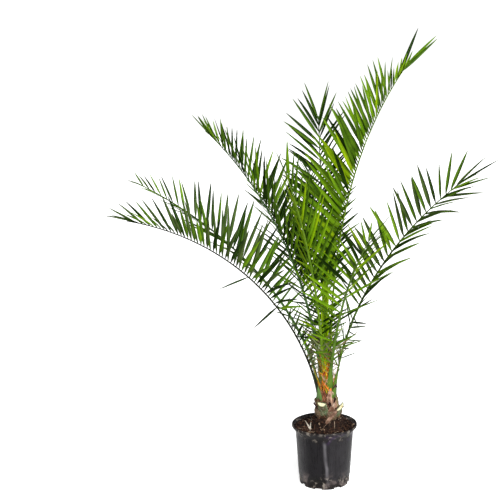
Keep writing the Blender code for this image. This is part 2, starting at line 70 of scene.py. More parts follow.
class Graph:
    """A node tree under construction, for a material, the world or a shared effect."""

    def __init__(self, tree: bpy.types.NodeTree) -> None:
        """Start on an empty tree."""
        self.tree = tree
        tree.nodes.clear()

    def node(self, kind: str, sockets: dict[Any, Any] | None = None, **settings: Any) -> bpy.types.Node:
        """Add one node.

        Args:
            kind: The node's type.
            sockets: Input name or number, and its value or the output that feeds it.
            settings: The node's own settings.

        Returns:
            The new node.
        """
        made = self.tree.nodes.new(kind)
        for key, value in settings.items():
            setattr(made, key, value)
        for key, value in (sockets or {}).items():
            if isinstance(value, Socket):
                self.tree.links.new(value, made.inputs[key])
            else:
                made.inputs[key].default_value = (*value, 1.0) if made.inputs[key].type == "RGBA" else value
        return made

    def math(self, operation: str, first: Any, second: Any = 0.0, third: Any = 0.0) -> Socket:
        """Return the output of a Math node."""
        return self.node("ShaderNodeMath", {0: first, 1: second, 2: third}, operation=operation).outputs[0]

    def times(self, first: Any, second: Any) -> Socket:
        """Return the product of two values."""
        return self.math("MULTIPLY", first, second)

    def line(self, value: Any, slope: Any, offset: Any) -> Socket:
        """Return a value times a slope, plus an offset."""
        return self.math("MULTIPLY_ADD", value, slope, offset)

    def rest(self, share: Any) -> Socket:
        """Return what a share leaves of one."""
        return self.math("SUBTRACT", 1.0, share)

    def blend(self, share: Any, first: Any, second: Any) -> Socket:
        """Return a mix of two colours."""
        return self.node("ShaderNodeMix", {0: share, 6: first, 7: second}, data_type="RGBA").outputs[2]

    def layer(self, mask: Any, share: Any, under: Any, over: Any) -> Socket:
        """Return a colour with a share of another laid over it where a mask lets it."""
        return self.blend(self.times(mask, share), under, over)

    def step(self, value: Any, low: float, high: float) -> Socket:
        """Return 0 at low, 1 at high and a smooth change between them."""
        sockets = {0: value, 1: low, 2: high}
        return self.node("ShaderNodeMapRange", sockets, interpolation_type="SMOOTHSTEP").outputs[0]

    def axes(self, vector: Socket) -> tuple[Socket, ...]:
        """Return the three parts of a vector."""
        return tuple(self.node("ShaderNodeSeparateXYZ", {0: vector}).outputs)

    def noise(self, vector: Socket, scale: Any, detail: float, roughness: float = 0.5,
              distortion: float = 0.0) -> Socket:
        """Return the value of a noise texture."""
        sockets = {"Vector": vector, "Scale": scale, "Detail": detail, "Roughness": roughness,
                   "Distortion": distortion}
        return self.node("ShaderNodeTexNoise", sockets).outputs[0]

    def effect(self, name: str, **sockets: Any) -> Any:
        """Place a shared effect with its own values and return its outputs."""
        tree = bpy.data.node_groups.get(name) or EFFECTS[name]()
        return self.node("ShaderNodeGroup", sockets, node_tree=tree).outputs


class Effect(Graph):
    """A shared effect under construction, with its inputs and its outputs."""

    def __init__(self, name: str, takes: dict[str, str], gives: dict[str, str]) -> None:
        """Start an effect.

        Args:
            name: The node group's name.
            takes: Its inputs, each a name and a socket type.
            gives: Its outputs, in the same form.
        """
        super().__init__(bpy.data.node_groups.new(name, "ShaderNodeTree"))
        for direction, sockets in (("INPUT", takes), ("OUTPUT", gives)):
            for label, kind in sockets.items():
                self.tree.interface.new_socket(label, in_out=direction, socket_type=f"NodeSocket{kind}")
        self.start = self.node("NodeGroupInput").outputs
        self.end = self.node("NodeGroupOutput").inputs

    def close(self, **values: Socket) -> bpy.types.NodeTree:
        """Link the outputs and return the finished effect."""
        for label, value in values.items():
            self.tree.links.new(value, self.end[label])
        return self.tree


RELIEF = {"Mask": "Float", "Height": "Float"}
MOTTLE_SOFTNESS = 0.12
FINE_FIBRE_SCALE = 3.7
FINE_FIBRE_SHARE = 0.45
SPECK_SCALE = 14.0
SPECK_SPREAD = 0.30
DUST_PATCH_SHARE = 0.7
VEIN_PITCH = 75.0
FIBRE_EDGE = (0.58, 0.86)
PATCH_EDGE = (0.72, 1.0)
SPECK_EDGE = (0.74, 0.8)
VEIN_EDGE = (0.3, 1.0)
STAIN_EDGE = (0.014, 0.034)
STAIN_SCALE = 90.0
STAIN_RAGGEDNESS = 0.05


def mottling() -> bpy.types.NodeTree:
    """Return the effect that blends two colours in soft uneven patches."""
    takes = {"Vector": "Vector", "Scale": "Float", "First": "Color", "Second": "Color", "Balance": "Float"}
    effect = Effect("Mottling", takes, {"Colour": "Color", "Mask": "Float"})
    cloud = effect.noise(effect.start["Vector"], effect.start["Scale"], detail=5.0, roughness=0.6)
    moved = effect.math("SUBTRACT", cloud, effect.start["Balance"])
    mask = effect.step(moved, -MOTTLE_SOFTNESS, MOTTLE_SOFTNESS)
    return effect.close(Mask=mask, Colour=effect.blend(mask, effect.start["First"], effect.start["Second"]))


def fibre_grain() -> bpy.types.NodeTree:
    """Return the effect that draws long fibres along the vector's third axis."""
    effect = Effect("Fibre Grain", {"Vector": "Vector", "Scale": "Float", "Stretch": "Float"}, RELIEF)
    squeeze = effect.node("ShaderNodeCombineXYZ", {0: 1.0, 1: 1.0, 2: effect.start["Stretch"]})
    along = effect.node("ShaderNodeVectorMath", {0: effect.start["Vector"], 1: squeeze.outputs[0]},
                        operation="MULTIPLY").outputs[0]
    scale = effect.start["Scale"]
    coarse = effect.noise(along, scale, detail=3.0, roughness=0.65, distortion=0.3)
    fine = effect.noise(along, effect.times(scale, FINE_FIBRE_SCALE), detail=2.0)
    height = effect.line(fine, FINE_FIBRE_SHARE, coarse)
    return effect.close(Mask=effect.step(height, *FIBRE_EDGE), Height=height)


def soil_dust() -> bpy.types.NodeTree:
    """Return the effect that leaves dust and crumbs of soil in broken patches."""
    effect = Effect("Soil Dust", {"Vector": "Vector", "Amount": "Float", "Scale": "Float"}, RELIEF)
    place, amount, scale = (effect.start[label] for label in ("Vector", "Amount", "Scale"))
    cloud = effect.noise(place, scale, detail=6.0, roughness=0.7)
    specks = effect.noise(place, effect.times(scale, SPECK_SCALE), detail=2.0)
    patch = effect.step(effect.math("ADD", cloud, amount), *PATCH_EDGE)
    speck = effect.step(effect.line(amount, SPECK_SPREAD, specks), *SPECK_EDGE)
    mask = effect.math("MAXIMUM", effect.times(patch, DUST_PATCH_SHARE), speck)
    return effect.close(Mask=mask, Height=effect.times(mask, specks))


def leaf_veins() -> bpy.types.NodeTree:
    """Return the effect that draws a leaflet's fine parallel veins from its own map."""
    effect = Effect("Leaf Veins", {"Vector": "Vector"}, RELIEF)
    across = effect.axes(effect.start["Vector"])[0]
    rows = effect.line(effect.math("SINE", effect.times(across, VEIN_PITCH)), 0.5, 0.5)
    return effect.close(Mask=effect.step(rows, *VEIN_EDGE), Height=rows)


def ground_stain() -> bpy.types.NodeTree:
    """Return the effect that finds what lies below a ragged level."""
    effect = Effect("Ground Stain", {"Vector": "Vector", "Level": "Float"}, {"Mask": "Float"})
    height = effect.axes(effect.start["Vector"])[2]
    cloud = effect.noise(effect.start["Vector"], STAIN_SCALE, detail=4.0)
    ragged = effect.line(cloud, STAIN_RAGGEDNESS, height)
    above = effect.math("SUBTRACT", ragged, effect.start["Level"])
    return effect.close(Mask=effect.rest(effect.step(above, *STAIN_EDGE)))


EFFECTS: dict[str, Callable[[], bpy.types.NodeTree]] = {
    "Mottling": mottling, "Fibre Grain": fibre_grain, "Soil Dust": soil_dust, "Leaf Veins": leaf_veins,
    "Ground Stain": ground_stain}


# Finishes


class Surface(Graph):
    """A material under construction: its shader and what feeds it."""

    def __init__(self, name: str, roughness: float, gloss: float) -> None:
        """Start a material with a plain shader.

        Args:
            name: The material's name.
            roughness: The shader's roughness, where nothing feeds it.
            gloss: The shader's specular level.
        """
        self.material = bpy.data.materials.new(name)
        self.material.use_nodes = True
        super().__init__(self.material.node_tree)
        self.shader = self.node("ShaderNodeBsdfPrincipled",
                                {"Roughness": roughness, "Specular IOR Level": gloss})
        self.node("ShaderNodeOutputMaterial", {"Surface": self.shader.outputs[0]})
        self.place = self.node("ShaderNodeTexCoord").outputs["Object"]

    def mottled(self, scale: float, first: Any, second: Colour, balance: float) -> Any:
        """Mottle two colours over the surface.

        Args:
            scale: The patches' fineness.
            first: The colour, or the output, that the second one lies on.
            second: The second colour.
            balance: What the noise has to pass for the second colour.

        Returns:
            The effect's outputs.
        """
        return self.effect("Mottling", Vector=self.place, Scale=scale, First=first, Second=second,
                           Balance=balance)

    def grained(self, scale: float, stretch: float) -> Any:
        """Draw upright fibres over the surface and return the effect's outputs."""
        return self.effect("Fibre Grain", Vector=self.place, Scale=scale, Stretch=stretch)

    def feed(self, colour: Socket, roughness: Socket | None = None, height: Socket | None = None,
             depth: float = 0.0005, strength: float = 0.5) -> bpy.types.Material:
        """Link the patterns to the shader.

        Args:
            colour: What feeds the base colour.
            roughness: What feeds the roughness.
            height: What feeds the bump.
            depth: The bump's depth in metres.
            strength: The bump's strength.

        Returns:
            The finished material.
        """
        self.tree.links.new(colour, self.shader.inputs["Base Color"])
        if roughness is not None:
            self.tree.links.new(roughness, self.shader.inputs["Roughness"])
        if height is not None:
            bump = self.node("ShaderNodeBump", {"Strength": strength, "Distance": depth, "Height": height})
            self.tree.links.new(bump.outputs[0], self.shader.inputs["Normal"])
        return self.material


@dataclass(frozen=True)
class LeafletFinish:
    """A leaflet's blade: two close greens in patches, fine veins, painted shade on one creased half and its
    foot.
    """

    name: str
    colour: Colour
    shade: Colour
    roughness: float = 0.5
    gloss: float = 0.02
    patch_scale: float = 22.0
    patch_balance: float = 0.52
    veined: float = 0.1
    folded: float = 0.5
    fold_from: float = 0.44
    fold_to: float = 0.56
    foot: float = 0.55
    foot_from: float = 0.02
    foot_to: float = 0.3
    painted_shade_depth: float = 0.22

    def make(self) -> bpy.types.Material:
        """Return the material."""
        surface = Surface(self.name, self.roughness, self.gloss)
        patch = surface.mottled(self.patch_scale, self.colour, self.shade, self.patch_balance)
        own = surface.node("ShaderNodeUVMap", uv_map="Blade").outputs[0]
        veins = surface.effect("Leaf Veins", Vector=own)
        veined = surface.layer(veins["Mask"], self.veined, patch["Colour"], self.shade)
        across, along, _ = surface.axes(own)
        # Painted shade: one half of the creased blade and its foot by the rib are darkened.
        half = surface.times(surface.step(across, self.fold_from, self.fold_to), self.folded)
        foot = surface.times(surface.step(along, self.foot_to, self.foot_from), self.foot)
        dark = tuple(self.painted_shade_depth * part for part in self.shade)
        colour = surface.blend(surface.math("MAXIMUM", half, foot), veined, dark)
        rough = surface.line(patch["Mask"], 0.12, self.roughness - 0.06)
        return surface.feed(colour, rough, veins["Height"], depth=0.00025, strength=0.35)


@dataclass(frozen=True)
class StalkFinish:
    """A petiole or rib: smooth green with faint streaks and a few brown marks; a stalk painted in shade shows
    green only on its foot's inner side.
    """

    name: str
    colour: Colour
    shade: Colour
    mark: Colour = (0.1, 0.06, 0.02)
    foot: Colour | None = None
    foot_from: float = 0.27
    foot_to: float = 0.3
    foot_shade_edge: float = -0.046
    edge_slope: float = 0.1
    edge_softness: float = 0.002
    streaked: float = 0.35
    marked: float = 0.7

    def make(self) -> bpy.types.Material:
        """Return the material."""
        surface = Surface(self.name, roughness=0.42, gloss=0.1)
        grain = surface.grained(scale=420.0, stretch=0.05)
        patch = surface.mottled(34.0, self.colour, self.shade, balance=0.5)
        streaked = surface.layer(grain["Mask"], self.streaked, patch["Colour"], self.shade)
        marks = surface.step(surface.noise(surface.place, 150.0, detail=3.0), 0.66, 0.72)
        colour = surface.layer(marks, self.marked, streaked, self.mark)
        # Painted shade: on the shaded stalk only the inner side of the foot shows green, and the rest keeps
        # the dark colour.
        if self.foot:
            across, _, height = surface.axes(surface.place)
            low = surface.step(height, self.foot_to, self.foot_from)
            slanted = surface.line(height, -self.edge_slope, across)
            soft, edge = self.edge_softness, self.foot_shade_edge
            inner = surface.step(slanted, edge - soft, edge + soft)
            colour = surface.layer(low, inner, colour, self.foot)
        rough = surface.line(grain["Mask"], 0.2, 0.34)
        return surface.feed(colour, rough, grain["Height"], depth=0.0004, strength=0.4)


@dataclass(frozen=True)
class FibreFinish:
    """Dry fibre, husk, chip or root: a dull two-coloured grain with a rough relief."""

    name: str
    colour: Colour
    shade: Colour
    scale: float = 260.0
    stretch: float = 0.1
    depth: float = 0.0008
    stained_to: float = 0.0
    stain: Colour = (0.02, 0.011, 0.007)
    stained: float = 0.88
    grained: float = 0.65

    def make(self) -> bpy.types.Material:
        """Return the material."""
        surface = Surface(self.name, roughness=0.85, gloss=0.12)
        grain = surface.grained(self.scale, self.stretch)
        patch = surface.mottled(55.0, self.colour, self.shade, balance=0.5)
        colour = surface.layer(grain["Mask"], self.grained, patch["Colour"], self.shade)
        if self.stained_to:
            low = surface.effect("Ground Stain", Vector=surface.place, Level=self.stained_to)
            colour = surface.layer(low["Mask"], self.stained, colour, self.stain)
        rough = surface.line(grain["Mask"], -0.15, 0.92)
        return surface.feed(colour, rough, grain["Height"], self.depth, strength=0.8)


@dataclass(frozen=True)
class LeafBaseFinish:
    """The outside of a cut leaf base: dark green under a grey bloom, brown towards its edges."""

    name: str
    green: Colour = (0.085, 0.135, 0.05)
    bloom: Colour = (0.4, 0.44, 0.31)
    brown: Colour = (0.085, 0.042, 0.022)
    grained: float = 0.4

    def make(self) -> bpy.types.Material:
        """Return the material."""
        surface = Surface(self.name, roughness=0.6, gloss=0.35)
        grain = surface.grained(scale=300.0, stretch=0.12)
        skin = surface.mottled(70.0, self.green, self.brown, balance=0.62)
        dust = surface.mottled(260.0, skin["Colour"], self.bloom, balance=0.6)
        colour = surface.layer(grain["Mask"], self.grained, dust["Colour"], self.brown)
        rough = surface.line(dust["Mask"], 0.3, 0.5)
        return surface.feed(colour, rough, grain["Height"], depth=0.0007, strength=0.7)


@dataclass(frozen=True)
class CutFinish:
    """The face of a cut leaf base, with the ends of its fibres as darker dots."""

    name: str
    cream: Colour = (0.86, 0.8, 0.52)
    tan: Colour = (0.52, 0.38, 0.18)
    dotted: float = 0.6

    def make(self) -> bpy.types.Material:
        """Return the material."""
        surface = Surface(self.name, roughness=0.75, gloss=0.3)
        patch = surface.mottled(120.0, self.cream, self.tan, balance=0.6)
        cells = {"Vector": surface.place, "Scale": 900.0}
        ends = surface.node("ShaderNodeTexVoronoi", cells).outputs["Distance"]
        dots = surface.rest(surface.step(ends, 0.16, 0.3))
        colour = surface.layer(dots, self.dotted, patch["Colour"], self.tan)
        rough = surface.line(patch["Mask"], 0.15, 0.68)
        return surface.feed(colour, rough, ends, depth=0.0003, strength=0.5)


@dataclass(frozen=True)
class PotFinish:
    """Satin black moulded plastic, scuffed, with dried soil on its foot and painted sheen, reflections and
    highlights on its front.
    """

    name: str
    plastic: Colour = (0.0048, 0.004, 0.0052)
    worn_and_streaked: Colour = (0.02, 0.018, 0.021)
    violet_sheen_colour: Colour = (0.04, 0.017, 0.066)
    painted_highlight: Colour = (0.11, 0.104, 0.112)
    soil: Colour = (0.014, 0.01, 0.007)
    wet: Colour = (0.003, 0.0028, 0.0022)
    clay: Colour = (0.105, 0.084, 0.08)
    flecks: Colour = (0.3, 0.26, 0.22)
    foot_band: float = 0.062
    foot_dust: float = 0.44
    rim_band: float = 0.112
    rim_dust_and_glints: float = 0.33
    wall_dust: float = 0.08
    stain_from: float = 0.026
    stain_to: float = 0.05
    height: float = 0.168
    dusted: float = 0.85
    scuffed: float = 0.24
    purple_sheened: float = 0.75
    purple_sheen_rise: tuple = (0.128, 0.142)
    purple_sheen_fall: tuple = (0.156, 0.166)
    soaked: float = 0.8
    clayed: float = 0.7
    painted_streak_slope: float = -0.078
    painted_streak_foot: float = 0.0105
    painted_streak_wander: float = 0.006
    painted_streak_width: float = 0.0072
    painted_streak_rise: tuple = (0.006, 0.02)
    painted_streak_fall: tuple = (0.146, 0.132)

    def make(self) -> bpy.types.Material:
        """Return the material."""
        surface = Surface(self.name, roughness=0.3, gloss=0.15)
        level = surface.axes(surface.place)[2]
        foot = surface.rest(surface.step(level, 0.004, self.foot_band))
        # Partly real dust and partly painted highlight: the pale flecks under the rim also stand for glints
        # on the lip.
        rim = surface.step(level, self.rim_band, self.height)
        near = surface.math("MAXIMUM", surface.times(foot, self.foot_dust), surface.times(rim, self.rim_dust_and_glints))
        amount = surface.math("ADD", near, self.wall_dust)
        dust = surface.effect("Soil Dust", Vector=surface.place, Amount=amount, Scale=46.0)
        scuffs = surface.grained(scale=120.0, stretch=0.14)
        crumbs = surface.noise(surface.place, 95.0, detail=3.0)
        dirt = surface.blend(surface.step(crumbs, 0.53, 0.63), self.soil, self.flecks)
        clean = self.shell(surface, scuffs["Mask"])
        dusted = surface.layer(dust["Mask"], self.dusted, clean, dirt)
        colour = self.stained(surface, level, dusted)
        satin = surface.line(scuffs["Mask"], 0.16, 0.24)
        rough = surface.math("MAXIMUM", satin, surface.times(dust["Mask"], 0.9))
        ripples = surface.times(surface.noise(surface.place, 17.0, detail=2.0), 2.6)
        height = surface.line(dust["Height"], 0.6, ripples)
        return surface.feed(colour, rough, height, depth=0.0016, strength=0.5)

    def shell(self, surface: Surface, scuffs: Socket) -> Socket:
        """Colour the clean plastic: scuffs, and painted light over them: a purple sheen under the rim, paler
        reflections and a highlight streak down the front.

        Args:
            surface: The material.
            scuffs: The mask of the scuffs.

        Returns:
            The colour.
        """
        across, depth, level = surface.axes(surface.place)
        cloud = surface.noise(surface.place, 26.0, detail=2.0)
        worn_and_streaked = surface.layer(scuffs, self.scuffed, self.plastic, self.worn_and_streaked)
        # Painted sheen: a purple reflection laid under the rim on the pot's front.
        below_rim = surface.rest(surface.step(level, *self.purple_sheen_fall))
        band = surface.times(surface.step(level, *self.purple_sheen_rise), below_rim)
        right = surface.times(band, surface.step(across, -0.004, 0.014))
        purple_sheen = surface.times(right, surface.step(cloud, 0.42, 0.56))
        purple_sheened = surface.layer(purple_sheen, self.purple_sheened, worn_and_streaked, self.violet_sheen_colour)
        # Painted reflections and the painted highlight streak lighten the plastic.
        toned = surface.blend(self.sheen(surface, across, cloud), purple_sheened, self.painted_highlight)
        return surface.blend(self.painted_streak(surface, (across, depth, level), cloud), toned, self.painted_highlight)

    def stained(self, surface: Surface, level: Socket, colour: Socket) -> Socket:
        """Stain the foot with wet and with dried soil.

        Args:
            surface: The material.
            level: The height over the ground.
            colour: The colour under the stains.

        Returns:
            The colour with the stains.
        """
        blotch = surface.noise(surface.place, 30.0, detail=3.0, distortion=0.6)
        low = surface.rest(surface.step(level, self.stain_from, self.stain_to))
        wet = surface.times(low, surface.step(blotch, 0.5, 0.4))
        clay = surface.times(low, surface.step(blotch, 0.53, 0.62))
        soaked = surface.layer(wet, self.soaked, colour, self.wet)
        return surface.layer(clay, self.clayed, soaked, self.clay)

    def sheen(self, surface: Surface, across: Socket, cloud: Socket) -> Socket:
        """Return the mask of the painted reflections: paler grey to the right of the highlight streak and at
        the left edge.
        """
        # Painted reflection: paler plastic to the right of the streak and at the left edge.
        right = surface.times(surface.step(across, 0.004, 0.02), surface.step(across, 0.085, 0.045))
        left = surface.step(across, -0.04, -0.062)
        patchy = surface.line(cloud, 0.22, 0.02)
        return surface.times(surface.math("MAXIMUM", right, left), patchy)

    def painted_streak(self, surface: Surface, axes: tuple[Socket, ...], cloud: Socket) -> Socket:
        """Return the mask of the painted highlight streak down the pot's front.

        Args:
            surface: The material.
            axes: The place across, in depth and in height.
            cloud: The noise that makes the streak wander.

        Returns:
            The mask, which fades out under the rim and towards the foot.
        """
        across, depth, level = axes
        # Painted highlight: a pale, patchy streak wandering down the front, where a lamp's reflection falls.
        line = surface.line(level, self.painted_streak_slope, self.painted_streak_foot)
        wander = surface.line(cloud, self.painted_streak_wander, -0.5 * self.painted_streak_wander)
        off = surface.math("SUBTRACT", surface.math("SUBTRACT", across, line), wander)
        away = surface.math("ABSOLUTE", off)
        narrow = surface.rest(surface.step(away, 0.0, self.painted_streak_width))
        front = surface.step(depth, -0.04, -0.05)
        long = surface.times(surface.step(level, *self.painted_streak_rise), surface.step(level, *self.painted_streak_fall))
        worn_and_streaked = surface.line(cloud, 1.3, 0.1)
        return surface.times(surface.times(narrow, worn_and_streaked), surface.times(front, long))


@dataclass(frozen=True)
class SoilFinish:
    """Damp peat: near black crumbs with brown and a few paler specks."""

    name: str
    dark: Colour = (0.007, 0.004, 0.003)
    brown: Colour = (0.027, 0.013, 0.009)
    pale: Colour = (0.22, 0.14, 0.09)

    def make(self) -> bpy.types.Material:
        """Return the material."""
        surface = Surface(self.name, roughness=0.9, gloss=0.12)
        crumbs = surface.mottled(210.0, self.dark, self.brown, balance=0.5)
        specks = surface.noise(surface.place, 700.0, detail=2.0)
        colour = surface.blend(surface.step(specks, 0.66, 0.74), crumbs["Colour"], self.pale)
        rough = surface.line(crumbs["Mask"], 0.2, 0.72)
        return surface.feed(colour, rough, specks, depth=0.0012, strength=0.9)


@dataclass(frozen=True)
class FloorFinish:
    """The studio's plain pale floor."""

    name: str
    colour: Colour = (0.95, 0.95, 0.95)
    glow: float = 0.65
    toned: float = 0.985

    def make(self) -> bpy.types.Material:
        """Return the material."""
        surface = Surface(self.name, roughness=0.9, gloss=0.1)
        surface.shader.inputs["Emission Color"].default_value = (*self.colour, 1.0)
        seen = surface.node("ShaderNodeLightPath").outputs["Is Camera Ray"]
        surface.tree.links.new(surface.times(seen, self.glow), surface.shader.inputs["Emission Strength"])
        duller = tuple(self.toned * part for part in self.colour)
        return surface.feed(surface.mottled(3.0, self.colour, duller, balance=0.5)["Colour"])


class Tone(Enum):
    """The greens that the leaflets are dealt, from the fresh middle ones to the shaded outer ones."""

    FRESH = LeafletFinish("leaflet_fresh", (0.36, 0.54, 0.006), (0.235, 0.43, 0.004))
    BRIGHT = LeafletFinish("leaflet_bright", (0.215, 0.405, 0.01), (0.135, 0.3, 0.006))
    MID = LeafletFinish("leaflet_mid", (0.112, 0.228, 0.01), (0.06, 0.14, 0.006))
    DEEP = LeafletFinish("leaflet_deep", (0.022, 0.056, 0.003), (0.008, 0.025, 0.001))
    SHADE = LeafletFinish("leaflet_grey", (0.094, 0.145, 0.034), (0.048, 0.082, 0.018), 0.55)
    LIGHT_RIB = LeafletFinish("leaflet_midrib_light", (0.3, 0.48, 0.07), (0.23, 0.41, 0.05))
    DARK_RIB = LeafletFinish("leaflet_midrib_dark", (0.085, 0.18, 0.04), (0.06, 0.14, 0.03))
    DRY = LeafletFinish("leaflet_dry_tip", (0.3, 0.25, 0.13), (0.19, 0.15, 0.075), 0.7)


# Mesh building


MERGED_WITHIN = 1e-5
STRAIGHT_WITHIN = 1e-6
STRAND_TIP = 0.06
STRAND_TAPER = 2.2


@dataclass(frozen=True)
class Frame:
    """A place on a rib: its point, the way the rib runs, the way to its upper face, and the way across."""

    point: Vector
    along: Vector
    upper: Vector
    across: Vector

    def matrix(self, half_width: float, half_thickness: float) -> Matrix:
        """Return the matrix that lays a unit ring across the rib."""
        turn = Matrix((self.across, self.upper, self.along)).transposed().to_4x4()
        size = Matrix.Diagonal((half_width, half_thickness, 1.0, 1.0))
        return Matrix.Translation(self.point) @ turn @ size


def loft(rings: list[Matrix], sides: int, shape: Callable[[Vector], Vector] | None = None,
         closed: bool = True) -> bmesh.types.BMesh:
    """Stretch a skin over a row of rings.

    Args:
        rings: The matrix that places each unit ring.
        sides: The number of points in a ring.
        shape: What makes the unit ring's points into the section's.
        closed: Whether both ends are closed.

    Returns:
        The skin.
    """
    bm = bmesh.new()
    loops = []
    for ring in rings:
        made = bmesh.ops.create_circle(bm, segments=sides, radius=1.0)
        for vert in made["verts"]:
            vert.co = ring @ (shape(vert.co) if shape else vert.co)
        loops.append({edge for vert in made["verts"] for edge in vert.link_edges})
    for lower, higher in zip(loops, loops[1:]):
        bmesh.ops.bridge_loops(bm, edges=list(lower | higher))
    if closed:
        bmesh.ops.holes_fill(bm, edges=list(loops[0] | loops[-1]), sides=sides)
    bmesh.ops.recalc_face_normals(bm, faces=bm.faces)
    return bm


def turned(profile: list[tuple[float, float]], sides: int) -> bmesh.types.BMesh:
    """Turn a profile round Z.

    Args:
        profile: Radius and height of each point; the ends lie on the axis.
        sides: The number of steps in the turn.

    Returns:
        The turned body, whose faces point outwards.
    """
    bm = bmesh.new()
    points = [bm.verts.new((radius, 0.0, height)) for radius, height in profile]
    edges = [bm.edges.new(pair) for pair in zip(points, points[1:])]
    bmesh.ops.spin(bm, geom=points + edges, axis=UP, cent=(0, 0, 0), steps=sides, angle=math.tau,
                   use_merge=True)
    bmesh.ops.remove_doubles(bm, verts=bm.verts, dist=MERGED_WITHIN)
    bmesh.ops.recalc_face_normals(bm, faces=bm.faces)
    return bm


def linked(name: str, data: Any) -> bpy.types.Object:
    """Put a mesh, a light or a camera into the scene under a name."""
    made = bpy.data.objects.new(name, data)
    bpy.context.scene.collection.objects.link(made)
    return made


def finished(name: str, mesh: bpy.types.Mesh, slot: str, replaces: list[str],
             sharp: float = 35.0) -> bpy.types.Object:
    """Make a mesh a piece of the plant.

    Args:
        name: The piece's name.
        mesh: Its mesh, in place, with its materials.
        slot: The record's material slot; not used.
        replaces: The solids that it stands for.
        sharp: The angle in degrees over which an edge stays sharp.

    Returns:
        The piece.
    """
    mesh.shade_smooth()
    mesh.set_sharp_from_angle(angle=math.radians(sharp))
    piece = linked(name, mesh)
    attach(piece, "root")
    if replaces:
        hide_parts(*replaces)
    LOG.info("%s: %d faces", name, len(mesh.polygons))
    return piece


def bare_mesh(name: str, finishes: list[bpy.types.Material]) -> bpy.types.Mesh:
    """Return an empty mesh that wears the given materials."""
    mesh = bpy.data.meshes.new(name)
    for finish in finishes:
        mesh.materials.append(finish)
    return mesh


def made_mesh(name: str, bm: bmesh.types.BMesh, finishes: list[bpy.types.Material]) -> bpy.types.Mesh:
    """Turn a bmesh into a mesh that wears the given materials."""
    mesh = bare_mesh(name, finishes)
    bm.to_mesh(mesh)
    bm.free()
    return mesh


@dataclass(frozen=True)
class Mould:
    """A small shape that is cast many times: how far along, aside and up each of its points lies."""

    along: np.ndarray
    aside: np.ndarray
    lift: np.ndarray
    faces: list[tuple[int, ...]]
    kinds: list[int]

    @classmethod
    def of(cls, bm: bmesh.types.BMesh, kind: Callable[[Vector], int] | None = None) -> "Mould":
        """Take a mould from a bmesh that is one unit long in X.

        Args:
            bm: The shape, which is freed.
            kind: What gives a face's kind from its middle.

        Returns:
            The mould.
        """
        bm.verts.index_update()
        points = np.array([vert.co[:] for vert in bm.verts])
        faces = [tuple(vert.index for vert in face.verts) for face in bm.faces]
        kinds = [kind(face.calc_center_median()) if kind else 0 for face in bm.faces]
        bm.free()
        return cls(points[:, 0], points[:, 1], points[:, 2], faces, kinds)

    def laid(self, matrix: Matrix) -> np.ndarray:
        """Return the shape's points under a matrix."""
        points = np.column_stack((self.along, self.aside, self.lift, np.ones(len(self.along))))
        return (points @ np.array(matrix).T)[:, :3]


class Palette:
    """The materials of one enumeration of finishes, in its order."""

    def __init__(self, kinds: type[Enum]) -> None:
        """Make every material and number it."""
        self.materials = [kind.value.make() for kind in kinds]
        self.number = {kind: index for index, kind in enumerate(kinds)}


@dataclass
class Spray:
    """Small things of one kind, gathered as arrays and joined into one mesh."""

    name: str
    slot: str
    palette: Palette
    points: list[np.ndarray] = field(default_factory=list)
    faces: list[tuple[int, ...]] = field(default_factory=list)
    wears: list[int] = field(default_factory=list)
    maps: list[np.ndarray] = field(default_factory=list)
    count: int = 0

    def add(self, mould: Mould, points: np.ndarray, *wears: Enum) -> None:
        """Cast a mould once.

        Args:
            mould: The mould.
            points: Where its points lie.
            wears: The finish of each kind of face.
        """
        self.points.append(points)
        self.faces.extend(tuple(index + self.count for index in face) for face in mould.faces)
        self.wears.extend(self.palette.number[wears[kind]] for kind in mould.kinds)
        self.maps.append(np.column_stack((0.5 * mould.aside + 0.5, mould.along)))
        self.count += len(points)

    def join(self, replaces: list[str], sharp: float = 35.0) -> bpy.types.Object:
        """Return everything cast so far as one piece."""
        mesh = bare_mesh(self.name, self.palette.materials)
        mesh.from_pydata(np.concatenate(self.points).tolist(), [], self.faces)
        mesh.polygons.foreach_set("material_index", self.wears)
        corners = np.empty(len(mesh.loops), dtype=np.int32)
        mesh.loops.foreach_get("vertex_index", corners)
        own = mesh.uv_layers.new(name="Blade")
        own.data.foreach_set("uv", np.concatenate(self.maps)[corners].ravel())
        mesh.update()
        return finished(self.name, mesh, self.slot, replaces, sharp)


def strand_mould(stations: int, sides: int) -> Mould:
    """Return the mould of a thin round strand that tapers to a point."""
    def taper(share: float) -> float:
        return max(STRAND_TIP, (1.0 - share ** STRAND_TAPER))

    turn = Matrix(((0, 0, 1, 0), (1, 0, 0, 0), (0, 1, 0, 0), (0, 0, 0, 1)))
    shares = [index / (stations - 1) for index in range(stations)]
    rings = [Matrix.Translation((share, 0, 0)) @ turn @ Matrix.Scale(taper(share), 4) for share in shares]
    return Mould.of(loft(rings, sides))


def strand(mould: Mould, root: Vector, run: Vector, bend: Vector, half_width: float,
           half_thickness: float | None = None) -> np.ndarray:
    """Lay a strand along a curve.

    Args:
        mould: The strand's mould.
        root: Where it starts.
        run: From its root to its end, before it bends.
        bend: How far its end is carried off by the bend.
        half_width: Half its width at the root.
        half_thickness: Half its thickness there, if it is flat.

    Returns:
        Its points.
    """
    along = mould.along[:, None]
    side = run.cross(bend if bend.length > STRAIGHT_WITHIN else run.orthogonal()).normalized()
    over = side.cross(run).normalized()
    thick = half_width if half_thickness is None else half_thickness
    middle = np.array(root) + np.array(run) * along + np.array(bend) * along ** 2
    return (middle + np.array(side) * (mould.aside * half_width)[:, None]
            + np.array(over) * (mould.lift * thick)[:, None])


# Pot and soil


